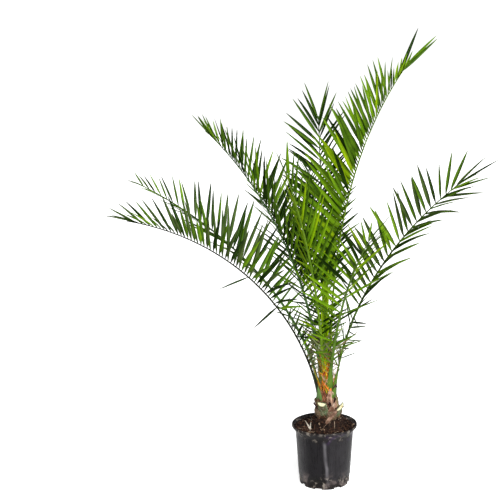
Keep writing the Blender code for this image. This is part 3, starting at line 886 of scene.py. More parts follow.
@dataclass
class Pot:
    """The round nursery pot: thin tapered wall, flared lip, inset foot and drainage slots."""

    height: float = 0.168
    rim_radius: float = 0.09
    neck_radius: float = 0.08
    neck_height: float = 0.151
    foot_radius: float = 0.07
    wall: float = 0.0018
    floor: float = 0.0025
    step_height: float = 0.024
    step_depth: float = 0.001
    slots: int = 8
    slot_width: float = 0.02
    slot_rise: float = 0.007
    slot_reach: float = 0.01
    slot_turn: float = 8.5
    slot_rounding: float = 0.002
    recess: float = 0.0012
    recess_radius: float = 0.052
    foot_rounding: float = 0.0012
    wall_levels: tuple = (0.0252, 0.045, 0.07, 0.095, 0.12)
    flare_depth: float = 0.01
    flare_top: float = 0.1615
    flare_power: float = 1.9
    flare_steps: int = 8
    sides: int = 120

    def wall_radius(self, height: float) -> float:
        """Return the wall's outer radius at a height under the neck."""
        radius = self.foot_radius + (self.neck_radius - self.foot_radius) * height / self.neck_height
        return radius - (self.step_depth if height < self.step_height else 0.0)

    def flare(self, share: float) -> tuple[float, float]:
        """Return radius and height on the flare, from the wall at 0 to the lip at 1."""
        start = self.neck_height - self.flare_depth
        radius = self.wall_radius(start)
        reach = (self.rim_radius - 0.0004 - radius) * share ** self.flare_power
        return radius + reach, start + (self.flare_top - start) * share

    def profile(self) -> list[tuple[float, float]]:
        """Return the section's points from the middle of the underside to the middle of the floor."""
        edge, foot = self.foot_rounding, self.wall_radius(0.0)
        outer = [(0.0, self.recess), (self.recess_radius, self.recess), (self.recess_radius + 0.001, 0.0),
                 (foot - edge, 0.0), (foot - 0.3 * edge, 0.3 * edge), (foot, edge)]
        levels = (0.008, 0.016, self.step_height - self.step_depth, *self.wall_levels)
        outer += [(self.wall_radius(level), level) for level in levels]
        flare = [self.flare(index / self.flare_steps) for index in range(self.flare_steps + 1)]
        lip = [(self.rim_radius, 0.1625), (self.rim_radius, 0.1666), (self.rim_radius - 0.0005, 0.1677),
               (self.rim_radius - 0.0011, self.height), (self.rim_radius - 0.0018, 0.1674)]
        inner = [(radius - self.wall, height + 0.0012) for radius, height in reversed(flare)]
        above_step = self.wall_levels[0]
        inner += [(self.wall_radius(above_step) - self.wall, above_step), (foot - self.wall, 0.023),
                  (foot - self.wall - 0.0005, self.floor), (0.0, self.floor)]
        return outer + flare + lip + inner

    def slot_cutter(self) -> bpy.types.Object:
        """Return the row of rounded blocks that cuts the drainage slots."""
        bm = bmesh.new()
        size = Matrix.Diagonal((2 * self.slot_reach, self.slot_width, 2 * self.slot_rise, 1.0))
        for index in range(self.slots):
            angle = math.tau * (index + 0.5) / self.slots + math.radians(self.slot_turn)
            centre = Vector((math.cos(angle), math.sin(angle), 0.0)) * self.foot_radius
            place = Matrix.Translation(centre) @ Matrix.Rotation(angle, 4, "Z") @ size
            bmesh.ops.create_cube(bm, size=1.0, matrix=place)
        bmesh.ops.bevel(bm, geom=list(bm.edges), affect="EDGES", offset=self.slot_rounding, segments=2,
                        profile=0.5, material=-1)
        return linked("slot_cutter", made_mesh("slot_cutter", bm, []))

    def build(self) -> bpy.types.Object:
        """Return the finished pot."""
        plastic = PotFinish("black_pot_plastic").make()
        raw = linked("pot_raw", made_mesh("pot_shell", turned(self.profile(), self.sides), [plastic]))
        cutter = self.slot_cutter()
        cut = raw.modifiers.new("slots", "BOOLEAN")
        cut.operation = "DIFFERENCE"
        cut.solver = "EXACT"
        cut.object = cutter
        graph = bpy.context.evaluated_depsgraph_get()
        graph.update()
        shell = bpy.data.meshes.new_from_object(raw.evaluated_get(graph), depsgraph=graph)
        for item in (raw, cutter):
            bpy.data.objects.remove(item, do_unlink=True)
        return finished("pot_shell", shell, "black_plastic", ["pot"], 40.0)


class Bark(Enum):
    """The finishes of the soil's chips and crumbs."""

    DARK = FibreFinish("bark_dark", (0.016, 0.008, 0.006), (0.007, 0.004, 0.003))
    BROWN = FibreFinish("bark_brown", (0.056, 0.027, 0.017), (0.022, 0.01, 0.007))
    RUST = FibreFinish("bark_rust", (0.13, 0.062, 0.038), (0.055, 0.025, 0.015))
    PALE = FibreFinish("bark_pale", (0.36, 0.26, 0.18), (0.18, 0.115, 0.07))


class Root(Enum):
    """The finishes of the loose roots and the dry stick."""

    BROWN = FibreFinish("root_brown", (0.15, 0.08, 0.045), (0.07, 0.035, 0.02))
    PALE = FibreFinish("root_pale", (0.64, 0.5, 0.37), (0.38, 0.27, 0.18))
    STICK = FibreFinish("stick_white", (0.9, 0.86, 0.78), (0.64, 0.56, 0.44))


@dataclass
class Soil:
    """The soil in the pot, with its bark chips, crumbs, roots and a forked dry stick."""

    top: float = 0.16
    radius: float = 0.083
    rings: int = 26
    sides: int = 84
    seat_x: float = 0.013
    mound: float = 0.03
    mound_from: float = 0.03
    mound_to: float = 0.06
    chips: int = 900
    crumbs: int = 1100
    roots: int = 150
    strewn_to: float = 0.965
    bark_shares: tuple = (0.5, 0.33, 0.11, 0.06)
    root_shares: tuple = (0.75, 0.25)
    fork: tuple = (-0.0396, -0.026)
    fork_tips: tuple = ((-0.0542, 0.019, 0.171), (-0.0347, 0.027, 0.175))
    seed: int = 11

    def level(self, x: float, y: float) -> float:
        """Return the height of the soil's surface, which is heaped round the bole."""
        away = math.hypot(x - self.seat_x, y)
        share = min(max((self.mound_to - away) / (self.mound_to - self.mound_from), 0.0), 1.0)
        heap = self.mound * share * share * (3 - 2 * share)
        place = Vector((x, y, 0.0))
        rough = 0.0022 * noise.noise(place * 60.0) + 0.0014 * noise.noise(place * 190.0)
        return self.top - 0.001 + heap + rough

    def bed(self) -> bpy.types.Object:
        """Return the body of the soil."""
        profile = [(0.0, 0.003), (0.0655, 0.003), (0.0665, 0.0225), (0.0685, 0.027), (0.0765, 0.141),
                   (0.0783, 0.15), (self.radius - 0.0012, self.top - 0.004)]
        profile.append((self.radius, self.top - 0.0022))
        profile += [(self.radius * (1.0 - index / self.rings), self.top) for index in range(self.rings)]
        profile.append((0.0, self.top))
        bm = turned(profile, self.sides)
        for vert in bm.verts:
            if vert.co.z > self.top - 0.0005:
                vert.co.z = self.level(vert.co.x, vert.co.y)
        mesh = made_mesh("soil_bed", bm, [SoilFinish("damp_peat").make()])
        return finished("soil_bed", mesh, "potting_soil", ["soil"], 60.0)

    def spot(self, chance: random.Random, bulk: float) -> Vector:
        """Return a place on the surface, with its middle a little sunk."""
        away = self.radius * self.strewn_to * math.sqrt(chance.random())
        angle = chance.uniform(0.0, math.tau)
        x, y = away * math.cos(angle), away * math.sin(angle)
        return Vector((x, y, self.level(x, y) + bulk * chance.uniform(0.1, 0.6)))

    def moulds(self, chance: random.Random) -> list[Mould]:
        """Return the moulds of six uneven chips."""
        made = []
        for _ in range(6):
            bm = bmesh.new()
            bmesh.ops.create_cube(bm, size=1.0)
            bmesh.ops.subdivide_edges(bm, edges=list(bm.edges), cuts=1, use_grid_fill=True)
            for vert in bm.verts:
                vert.co += Vector([chance.uniform(-0.14, 0.14) for _ in range(3)])
            made.append(Mould.of(bm))
        return made

    def litter(self) -> list[bpy.types.Object]:
        """Return the chips and crumbs, and the roots with the dry stick."""
        chance = random.Random(self.seed)
        moulds = self.moulds(chance)
        heap = Spray("soil_litter", "potting_soil", Palette(Bark))
        for index in range(self.chips + self.crumbs):
            long = chance.uniform(0.003, 0.009) if index < self.chips else chance.uniform(0.0012, 0.003)
            size = (long, long * chance.uniform(0.25, 0.6), long * chance.uniform(0.15, 0.4))
            turn = (Matrix.Rotation(chance.uniform(0, math.tau), 4, "Z")
                    @ Matrix.Rotation(chance.gauss(0.0, 0.35), 4, "Y")
                    @ Matrix.Rotation(chance.gauss(0.0, 0.4), 4, "X"))
            place = Matrix.Translation(self.spot(chance, size[2])) @ turn @ Matrix.Diagonal((*size, 1.0))
            wears = chance.choices(list(Bark), self.bark_shares)[0]
            mould = chance.choice(moulds)
            heap.add(mould, mould.laid(place), wears)
        return [heap.join([], 30.0), self.root_litter(chance)]

    def root_litter(self, chance: random.Random) -> bpy.types.Object:
        """Return the loose roots and the forked dry stick."""
        tangle = Spray("soil_roots", "potting_soil", Palette(Root))
        mould = strand_mould(6, 4)
        for _ in range(self.roots):
            root = self.spot(chance, 0.001) + UP * 0.0012
            angle = chance.uniform(0, math.tau)
            run = Vector((math.cos(angle), math.sin(angle), chance.uniform(-0.05, 0.22)))
            run = run * chance.uniform(0.01, 0.034)
            end = root + run
            if math.hypot(end.x, end.y) > self.radius * 0.98:
                continue
            bend = UP * (self.level(end.x, end.y) + 0.0006 - end.z)
            points = strand(mould, root, run, bend, chance.uniform(0.0003, 0.0007))
            tangle.add(mould, points, chance.choices((Root.BROWN, Root.PALE), self.root_shares)[0])
        fork = Vector((*self.fork, self.level(*self.fork) + 0.0022))
        for tip in self.fork_tips:
            tangle.add(mould, strand(mould, fork, Vector(tip) - fork, UP * -0.002, 0.0024), Root.STICK)
        handle = Vector((0.001, -0.018, -0.003))
        points = strand(mould, fork + Vector((0.001, 0.002, 0.0)), handle, UP * 0.001, 0.003)
        tangle.add(mould, points, Root.STICK)
        return tangle.join([], 30.0)


# Bole


AROUND = 1.57
TRUNK_FOOT_X = 0.013
TRUNK_LEAN = -0.072
TRUNK_FOOT_Z = 0.1603
TRUNK_SECTIONS = ((0.0, 0.035), (0.01, 0.031), (0.035, 0.03), (0.07, 0.0275), (0.095, 0.0225),
                  (0.12, 0.015), (0.142, 0.008), (0.155, 0.004))


def trunk_axis(height: float) -> Vector:
    """Return the trunk's centre at a height above its foot."""
    return Vector((TRUNK_FOOT_X + TRUNK_LEAN * height, 0.0, TRUNK_FOOT_Z + height))


def trunk_radius(height: float) -> float:
    """Return the trunk's radius at a height above its foot."""
    heights, radii = zip(*TRUNK_SECTIONS)
    return float(np.interp(height, heights, radii))


def outward(heading: float) -> Vector:
    """Return the level direction of a heading in radians."""
    return Vector((math.cos(heading), math.sin(heading), 0.0))


def leaned(away: Vector, lean: float) -> tuple[Vector, Vector]:
    """Return the direction that leans from upright to one side, and the one square to it on top."""
    return away * math.sin(lean) + UP * math.cos(lean), UP * math.sin(lean) - away * math.cos(lean)


class Sheath(Enum):
    """The finishes of the dry sheaths, husks and flaps."""

    BROWN = FibreFinish("sheath_brown", (0.08, 0.034, 0.018), (0.022, 0.01, 0.006), 300.0, 0.14, 0.0011,
                        0.2)
    TAN = FibreFinish("sheath_tan", (0.34, 0.2, 0.105), (0.12, 0.06, 0.03), 300.0, 0.14, 0.0011, 0.2)
    PINK = FibreFinish("husk_pink", (0.62, 0.38, 0.27), (0.15, 0.07, 0.045), 200.0, 0.2, 0.0009)
    RUST = FibreFinish("husk_rust", (0.33, 0.105, 0.045), (0.13, 0.042, 0.022), 300.0, 0.14, 0.0011)
    PURPLE = FibreFinish("flap_purple", (0.06, 0.024, 0.03), (0.03, 0.012, 0.016), 260.0, 0.14, 0.0009)
    EDGE = FibreFinish("sheath_edge", (0.42, 0.44, 0.21), (0.23, 0.24, 0.1), 260.0, 0.1, 0.0006)
    # Painted highlight: pale husks laid where the husks catch the light.
    CREAM = FibreFinish("husk_painted_highlight", (0.68, 0.52, 0.4), (0.42, 0.27, 0.19), 260.0, 0.14, 0.0006)
    # Painted shade: near-black husks laid where there are only dark gaps between the husks.
    DARK = FibreFinish("husk_painted_shade", (0.034, 0.016, 0.01), (0.016, 0.008, 0.006), 260.0, 0.14, 0.0009)


class Fibre(Enum):
    """The finishes of the bole's loose fibres and of the young shoots among them."""

    BROWN = FibreFinish("fibre_brown", (0.1, 0.048, 0.026), (0.04, 0.018, 0.01))
    TAN = FibreFinish("fibre_tan", (0.42, 0.27, 0.15), (0.24, 0.14, 0.075))
    ORANGE = FibreFinish("fibre_orange", (0.85, 0.27, 0.03), (0.56, 0.15, 0.018))
    AMBER = FibreFinish("fibre_amber", (0.9, 0.56, 0.03), (0.62, 0.33, 0.02))
    RED = FibreFinish("fibre_red", (0.56, 0.11, 0.028), (0.3, 0.05, 0.018))
    SHOOT = FibreFinish("shoot_yellow", (0.95, 0.95, 0.04), (0.76, 0.84, 0.02))


Cast = tuple[np.ndarray, Fibre]


@dataclass(frozen=True)
class Husk:
    """A dry sheath that clasps the bole: heading, foot, rise, half its reach round the bole, and flare."""

    heading: float
    foot: float
    rise: float
    reach: float
    flare: float
    wears: Sheath


@dataclass
class Bole:
    """The short trunk in its fibrous sheaths, with cut leaf bases round it."""

    rise: float = 0.155
    rings: int = 62
    sides: int = 72
    bases: tuple = ((0.03, 20.0), (0.03, 110.0), (0.03, 200.0), (0.03, 286.0),
                    (0.054, 62.0), (0.054, 152.0), (0.054, 240.0), (0.042, 334.0))
    fresh_bases: tuple = (5, 7, 8)
    base_length: float = 0.04
    base_half_width: float = 0.0138
    base_half_thickness: float = 0.0066
    base_lean: float = 24.0
    base_foot_radius: float = 0.0225
    base_steps: int = 10
    base_spare_steps: int = 5
    base_stride: float = 1.25
    cut_wall: float = 0.0011
    cut_lip: float = 0.0009
    cut_sink: float = 0.0006
    cut_slope: float = 62.0
    oblique_cuts: tuple = ((8, 292.0, 52.0),)
    lattice: int = 420
    crown_fibres: int = 130
    front_fibres: int = 90
    front_shoots: int = 7
    seed: int = 23
    spread_husks: int = 34
    bare_headings: tuple = (240, 334)
    front_fibre_shares: tuple = ((0.3, 0.4, 0.0, 0.3), (0.06, 0.4, 0.28, 0.26))
    husks: tuple = (
        Husk(298, 0.058, 0.054, 34, 0.005, Sheath.PINK), Husk(250, 0.078, 0.03, 26, 0.003, Sheath.RUST),
        Husk(196, 0.036, 0.034, 17, 0.01, Sheath.PURPLE), Husk(323, 0.086, 0.038, 18, 0.013, Sheath.PURPLE),
        Husk(345, 0.06, 0.046, 13, 0.003, Sheath.EDGE), Husk(226, 0.058, 0.048, 24, 0.004, Sheath.TAN),
        Husk(291, 0.03, 0.038, 20, 0.004, Sheath.PINK), Husk(284, 0.006, 0.032, 20, 0.004, Sheath.BROWN),
        # The cream husks on this line and the next are painted highlights.
        Husk(276, 0.062, 0.04, 14, 0.002, Sheath.BROWN), Husk(305, 0.08, 0.024, 10, 0.008, Sheath.CREAM),
        # The dark husks on this line and the next are painted shade.
        Husk(300, 0.052, 0.022, 11, 0.008, Sheath.CREAM), Husk(282, 0.044, 0.036, 8, 0.008, Sheath.DARK),
        Husk(313, 0.064, 0.026, 6, 0.008, Sheath.DARK),
    )
    strap_route: tuple = ((0.033, -0.03, 0.215), (0.029, -0.035, 0.211), (0.0235, -0.0385, 0.205),
                          (0.018, -0.041, 0.198), (0.0125, -0.0425, 0.1915), (0.008, -0.043, 0.186),
                          (0.0035, -0.043, 0.1815))

    def relief(self, heading: float, height: float) -> float:
        """Return how far the bark stands out: overlapping sheath scars under long coarse fibres."""
        turns = heading / math.tau
        lower = math.sin(math.tau * (5 * turns + height / 0.03))
        upper = math.sin(math.tau * (8 * turns - height / 0.026))
        scars = 0.0012 * max(lower, upper)
        place = Vector((3.0 * math.cos(heading), 3.0 * math.sin(heading), height * 22.0))
        strands = 0.001 * noise.noise(place * 4.5) + 0.0012 * noise.noise(place * 1.4)
        return scars + strands

    def core(self) -> bpy.types.Object:
        """Return the bole's own body, which stands for the trunk."""
        rings = []
        for index in range(self.rings):
            height = self.rise * index / (self.rings - 1)
            centre = trunk_axis(height)
            radius = trunk_radius(height)
            rings.append(Matrix.Translation(centre) @ Matrix.Diagonal((radius, radius, 1.0, 1.0)))
        bm = loft(rings, self.sides)
        for vert in bm.verts:
            height = vert.co.z - TRUNK_FOOT_Z
            away = vert.co - trunk_axis(height)
            heading = math.atan2(away.y, away.x)
            fade = min(1.0, trunk_radius(height) / 0.02)
            vert.co += outward(heading) * self.relief(heading, height) * fade
        # Partly painted shade: the trunk's own fibre colour is darkened so the gaps between the husks read
        # near black.
        finish = FibreFinish("sheath_fibre_and_shade", (0.09, 0.04, 0.02), (0.02, 0.009, 0.006), 210.0, 0.16,
                             0.0014, 0.198)
        return finished("bole", made_mesh("bole", bm, [finish.make()]), "fibrous_trunk", ["trunk"], 60.0)

    def leaf_base(self, number: int, heading: float, height: float, finishes: list) -> bpy.types.Object:
        """Make one cut leaf base.

        Args:
            number: Its number round the bole.
            heading: The way it faces, in radians.
            height: How far its middle stands over the trunk's foot.
            finishes: Its outside and its cut face.

        Returns:
            The piece.
        """
        away = outward(heading)
        foot = trunk_axis(height - 0.5 * self.base_length) + away * self.base_foot_radius
        rings = []
        for index in range(self.base_steps + self.base_spare_steps):
            share = index / self.base_steps
            lean = math.radians(self.base_lean * (0.35 + 0.9 * min(share, 1.0)))
            along, upper = leaned(away, lean)
            swell = 1.28 - 0.5 * share + 0.22 * share ** 2
            frame = Frame(foot, along, upper, upper.cross(along))
            thickness = self.base_half_thickness * (0.85 + 0.35 * share)
            rings.append(frame.matrix(self.base_half_width * swell, thickness))
            foot = foot + along * self.base_length * self.base_stride / self.base_steps

        def crescent(point: Vector) -> Vector:
            flattened = point.y * (0.4 if point.y > 0 else 1.0)
            return Vector((point.x, flattened - 0.25 * (1 - point.x ** 2), 0.0))

        bm = loft(rings, 20, crescent)
        for vert in bm.verts:
            across = (vert.co - foot).dot(away.cross(UP))
            vert.co += away * 0.0005 * noise.noise(Vector((across * 700.0, number, vert.co.z * 60.0)))
        facing, slope = away, math.radians(self.cut_slope)
        for base, turned_to, sloped in self.oblique_cuts:
            if base == number:
                facing, slope = outward(math.radians(turned_to)), math.radians(sloped)
        top = trunk_axis(height + 0.5 * self.base_length) + away * (self.base_foot_radius + 0.012)
        normal = UP * math.cos(slope) + facing * math.sin(slope)
        whole = [*bm.verts, *bm.edges, *bm.faces]
        parted = bmesh.ops.bisect_plane(bm, geom=whole, plane_co=top, plane_no=normal, clear_outer=True)
        rim = [item for item in parted["geom_cut"] if isinstance(item, bmesh.types.BMEdge)]
        face = bmesh.ops.contextual_create(bm, geom=rim)["faces"]
        inner = bmesh.ops.inset_region(bm, faces=face, thickness=self.cut_wall, depth=0.0)
        bmesh.ops.inset_region(bm, faces=face, thickness=self.cut_lip, depth=-self.cut_sink)
        for item in face:
            item.material_index = 1
        for item in inner["faces"]:
            item.material_index = 0
        name = f"cut_leaf_base_{number}"
        return finished(name, made_mesh(name, bm, finishes), "leaf_base_husk", [f"leaf_base_{number}"], 32.0)

    def leaf_bases(self) -> list[bpy.types.Object]:
        """Return the cut leaf bases round the bole."""
        green = LeafBaseFinish("leaf_base_green")
        dry = LeafBaseFinish("leaf_base_dry", (0.13, 0.085, 0.04), (0.3, 0.25, 0.17), (0.07, 0.035, 0.02))
        cut = CutFinish("leaf_base_cut")
        old_cut = CutFinish("leaf_base_old_cut", (0.15, 0.095, 0.05), (0.07, 0.038, 0.022))
        fresh, old = ([finish.make() for finish in pair] for pair in ((green, cut), (dry, old_cut)))
        made = []
        for number, (height, heading) in enumerate(self.bases, 1):
            wears = fresh if number in self.fresh_bases else old
            made.append(self.leaf_base(number, math.radians(heading), height, wears))
        return made

    def sheaths(self) -> bpy.types.Object:
        """Return the dry sheaths, husks and flaps round the bole."""
        chance = random.Random(self.seed)
        palette = Palette(Sheath)
        husks = list(self.husks)
        for index in range(self.spread_husks):
            heading = math.degrees(index * GOLDEN_ANGLE) % 360.0
            foot = chance.uniform(0.004, 0.094)
            rise, reach = chance.uniform(0.026, 0.048), chance.uniform(14, 26)
            flare = chance.uniform(0.001, 0.005)
            wears = chance.choices((Sheath.BROWN, Sheath.TAN, Sheath.RUST), (0.5, 0.32, 0.18))[0]
            off_the_bases = foot > 0.072 or foot + rise < 0.03
            apart = all(off_the_bases or abs(heading - bare) > reach + 12 for bare in self.bare_headings)
            if apart and not (244 < heading < 322 and foot + rise > 0.05):
                husks.append(Husk(heading, foot, rise, reach, flare, wears))
        whole = bmesh.new()
        for index, husk in enumerate(husks):
            self.lay_husk(whole, husk, index, palette)
        bmesh.ops.solidify(whole, geom=list(whole.faces), thickness=0.0008)
        bmesh.ops.recalc_face_normals(whole, faces=whole.faces)
        return finished("sheaths", made_mesh("sheaths", whole, palette.materials), "leaf_base_husk", [], 50.0)

    def lay_husk(self, whole: bmesh.types.BMesh, husk: Husk, index: int, palette: Palette) -> None:
        """Add one husk's sheet to the others.

        Args:
            whole: The sheets so far.
            husk: The husk.
            index: Its number, which sets its ragged edge.
            palette: The sheaths' materials.
        """
        grid = bmesh.ops.create_grid(whole, x_segments=9, y_segments=10, size=1.0)
        for vert in grid["verts"]:
            aside, up = vert.co.x, 0.5 * vert.co.y + 0.5
            ragged = 1.0 + 0.2 * noise.noise(Vector((aside * 3.1, index * 1.7, 0.3))) * up
            reach = math.radians(husk.reach) * aside * (1.0 - 0.5 * up ** 2)
            heading = math.radians(husk.heading) + reach + 0.1 * noise.noise(Vector((up * 2.0, index, 5.0)))
            height = husk.foot + husk.rise * up * ragged * (1.0 - 0.16 * aside ** 2)
            crease = 0.0009 * noise.noise(Vector((aside * 6.0, up * 3.0, index * 2.3)))
            radius = trunk_radius(min(height, 0.1)) + 0.0012 + husk.flare * up ** 2.2 + crease
            vert.co = trunk_axis(height) + outward(heading) * radius
        for face in {face for vert in grid["verts"] for face in vert.link_faces}:
            face.material_index = palette.number[husk.wears]

    def strap(self) -> bpy.types.Object:
        """Return the dry strap that hangs from a cut base and curls across the front of the bole."""
        route = [Vector(point) for point in self.strap_route]
        bm = bmesh.new()
        grid = bmesh.ops.create_grid(bm, x_segments=4, y_segments=24, size=1.0)
        for vert in grid["verts"]:
            share = (0.5 * vert.co.y + 0.5) * (len(route) - 1)
            whole = min(int(share), len(route) - 2)
            centre = route[whole].lerp(route[whole + 1], share - whole)
            run = (route[whole + 1] - route[whole]).normalized()
            away = Vector((centre.x - 0.012, centre.y, 0.0)).normalized()
            side = run.cross(away).normalized()
            width = 0.0062 * (1.0 - 0.55 * vert.co.y ** 2)
            curl = 0.0022 * vert.co.x ** 2 * math.sin(share * 1.3)
            vert.co = centre + side * width * vert.co.x + away * (curl + 0.0004)
        bmesh.ops.smooth_vert(bm, verts=bm.verts, factor=0.5, use_axis_x=True, use_axis_y=True,
                              use_axis_z=True)
        bmesh.ops.solidify(bm, geom=list(bm.faces), thickness=0.0009)
        bmesh.ops.recalc_face_normals(bm, faces=bm.faces)
        finish = FibreFinish("strap_brown", (0.4, 0.25, 0.175), (0.12, 0.064, 0.042), 320.0, 0.2)
        return finished("dry_strap", made_mesh("dry_strap", bm, [finish.make()]), "leaf_base_husk", [], 50.0)

    def fibres(self) -> bpy.types.Object:
        """Return the lattice of fibres on the sheaths and the bright fibres and shoots among the petioles."""
        chance = random.Random(self.seed + 1)
        net = Spray("bole_fibres", "fibrous_trunk", Palette(Fibre))
        mould = strand_mould(6, 4)
        kinds = ((self.lattice, self.lattice_fibre), (self.crown_fibres, self.crown_fibre),
                 (self.front_fibres, self.front_fibre), (self.front_shoots, self.front_shoot))
        for count, fibre in kinds:
            for _ in range(count):
                net.add(mould, *fibre(mould, chance))
        return net.join([], 30.0)

    def lattice_fibre(self, mould: Mould, chance: random.Random) -> Cast:
        """Return the points and the finish of a fibre that runs aslant over the sheaths."""
        heading = chance.uniform(0, math.tau)
        height = chance.uniform(0.004, 0.1)
        lean = chance.choice((-1, 1)) * chance.uniform(0.25, 0.75)
        long = chance.uniform(0.014, 0.038)
        start = trunk_axis(height) + outward(heading) * (trunk_radius(height) + 0.0022)
        far = heading + lean * long / 0.035
        high = height + long * 0.8
        end = trunk_axis(high) + outward(far) * (trunk_radius(min(high, 0.11)) + chance.uniform(0.002, 0.006))
        bulge = outward(0.5 * (heading + far)) * 0.004
        points = strand(mould, start, end - start + bulge, -bulge, chance.uniform(0.0003, 0.0006))
        return points, chance.choices((Fibre.BROWN, Fibre.TAN), (0.6, 0.4))[0]

    def crown_fibre(self, mould: Mould, chance: random.Random) -> Cast:
        """Return the points and the finish of a flat fibre that stands up among the petioles."""
        heading = chance.uniform(0, math.tau)
        height = chance.uniform(0.085, 0.15)
        away = trunk_radius(height) * chance.uniform(0.6, 1.0) + 0.002
        start = trunk_axis(height) + outward(heading) * away
        run = (UP * chance.uniform(0.7, 1.1) + outward(heading) * chance.uniform(-0.1, 0.22)
               + outward(heading + AROUND) * chance.uniform(-0.35, 0.35)) * chance.uniform(0.03, 0.095)
        bend = outward(chance.uniform(0, math.tau)) * chance.uniform(0.0, 0.012)
        points = strand(mould, start, run, bend, chance.uniform(0.0006, 0.0016), 0.0004)
        return points, chance.choices((Fibre.TAN, Fibre.ORANGE, Fibre.AMBER), (0.25, 0.45, 0.3))[0]

    def front_fibre(self, mould: Mould, chance: random.Random) -> Cast:
        """Return the points and the finish of a short bright fibre before the petioles."""
        heading = math.radians(chance.uniform(254, 304))
        height = chance.uniform(0.108, 0.178)
        low_shares, high_shares = self.front_fibre_shares
        start = trunk_axis(height) + outward(heading) * chance.uniform(0.019, 0.027)
        slant = outward(heading + AROUND) * chance.uniform(-0.9, 0.9)
        run = (UP * chance.uniform(0.35, 1.0) + slant) * chance.uniform(0.008, 0.022)
        bend = outward(chance.uniform(0, math.tau)) * chance.uniform(0.0, 0.004)
        points = strand(mould, start, run, bend, chance.uniform(0.001, 0.0024), 0.0005)
        kinds = (Fibre.TAN, Fibre.ORANGE, Fibre.AMBER, Fibre.RED)
        return points, chance.choices(kinds, low_shares if height < 0.134 else high_shares)[0]

    def front_shoot(self, mould: Mould, chance: random.Random) -> Cast:
        """Return the points and the finish of a young shoot before the petioles."""
        height = chance.uniform(0.16, 0.178)
        away = outward(math.radians(chance.uniform(262, 280)))
        start = trunk_axis(height) + away * chance.uniform(0.027, 0.031)
        run = (UP + outward(chance.uniform(0, math.tau)) * 0.16) * chance.uniform(0.03, 0.048)
        bend = Vector((0.001, 0.0, 0.0))
        return strand(mould, start, run, bend, chance.uniform(0.002, 0.0032), 0.0006), Fibre.SHOOT

    def build(self) -> list[bpy.types.Object]:
        """Return every piece of the bole."""
        return [self.core(), *self.leaf_bases(), self.sheaths(), self.strap(), self.fibres()]


# Crown


class Stalk(Enum):
    """The finishes of the petioles and their ribs."""

    FRESH = StalkFinish("petiole_fresh", (0.2, 0.34, 0.02), (0.11, 0.215, 0.012))
    BLUE = StalkFinish("petiole_blue", (0.125, 0.245, 0.075), (0.072, 0.158, 0.048))
    # Painted shade: this petiole is near black for the shadow it lies in; its foot colour is its own green.
    DARK = StalkFinish("petiole_painted_shade", (0.015, 0.021, 0.007), (0.007, 0.009, 0.004),
                       foot=(0.105, 0.2, 0.05))
    OLIVE = StalkFinish("petiole_olive", (0.1, 0.19, 0.022), (0.06, 0.12, 0.014))


class Spine(Enum):
    """The finish of the thin spines low on the petioles."""

    OLIVE = StalkFinish("spine_olive", (0.18, 0.23, 0.08), (0.15, 0.11, 0.05))


Deal = tuple[tuple[Tone, float], ...]


@dataclass(frozen=True)
class Stray:
    """A leaflet that stands apart from its row: its share of the rib, its side, its angles and its length."""

    share: float
    side: int
    spread: float
    fold: float
    length: float


@dataclass(frozen=True)
class Frond:
    """One frond: its seat on the trunk, how its rib leans and bends, and what its leaflets are like.

    Angles are in degrees. A heading of 0 is +X and 90 is +Y; lean is measured from upright. Side 1 is the
    row on the side that Frame.across points to; a name with left in it is about the other row, side -1.
    """

    name: str
    seat_angle: float
    seat_height: float
    seat_radius: float
    heading: float
    lean: float
    bend: float
    bend_power: float
    length: float
    blade_from: float
    leaf_length: float
    fold: float
    stalk: Stalk
    tones: Deal
    spread_at_base: float = 62.0
    spread_near_tip: float = 38.0
    left_spread_share: float = 1.0
    tip_share: float = 0.6
    spacing: float = 0.019
    width_share: float = 0.07
    roll: float = 0.0
    half_width: float = 0.0074
    half_thickness: float = 0.0044
    droop: float = 0.035
    strays: tuple[Stray, ...] = ()
    outer_tones: Deal = ()
    shaded_side: int = 0
    left_spine_share: float = 1.0
    spine_fold: tuple[float, float] = (-30.0, 34.0)
    left_width_share: float = 1.0
    short_from: float = 1.0


TALL_STRAYS = (Stray(0.94, 1, 11, 62, 0.152), Stray(0.965, -1, 12, -50, 0.13),
               Stray(0.985, 1, 10, -75, 0.125))
LEFT_STRAYS = (Stray(0.53, -1, 67, -93, 0.081), Stray(0.373, -1, 105, -73, 0.099))
RIGHT_STRAYS = (Stray(0.99, -1, 8, 10, 0.13), Stray(0.96, -1, 24, 0, 0.125),
                Stray(0.92, -1, 34, -10, 0.12), Stray(0.322, -1, 84, 17, 0.08),
                Stray(0.259, -1, 74, -1, 0.056), Stray(0.221, 1, 70, -116, 0.056),
                Stray(0.183, -1, 64, -16, 0.056), Stray(0.14, 1, 52, -94, 0.052))
# Painted light in part: the deals give the lit fronds brighter greens and the shaded left and back fronds
# darker, greyer ones, beside the leaflets' own range of greens.
SUNNY = ((Tone.FRESH, 0.26), (Tone.BRIGHT, 0.43), (Tone.MID, 0.24), (Tone.DEEP, 0.07))
YOUNG = ((Tone.FRESH, 0.38), (Tone.BRIGHT, 0.42), (Tone.MID, 0.2))
LEAFY = ((Tone.BRIGHT, 0.16), (Tone.MID, 0.42), (Tone.DEEP, 0.42))
OPEN = ((Tone.BRIGHT, 0.16), (Tone.MID, 0.42), (Tone.SHADE, 0.2), (Tone.DEEP, 0.22))
GREEN = ((Tone.FRESH, 0.08), (Tone.BRIGHT, 0.38), (Tone.MID, 0.36), (Tone.DEEP, 0.18))
DARK = ((Tone.MID, 0.3), (Tone.DEEP, 0.7))
DULL = ((Tone.BRIGHT, 0.05), (Tone.MID, 0.28), (Tone.DEEP, 0.32), (Tone.SHADE, 0.35))
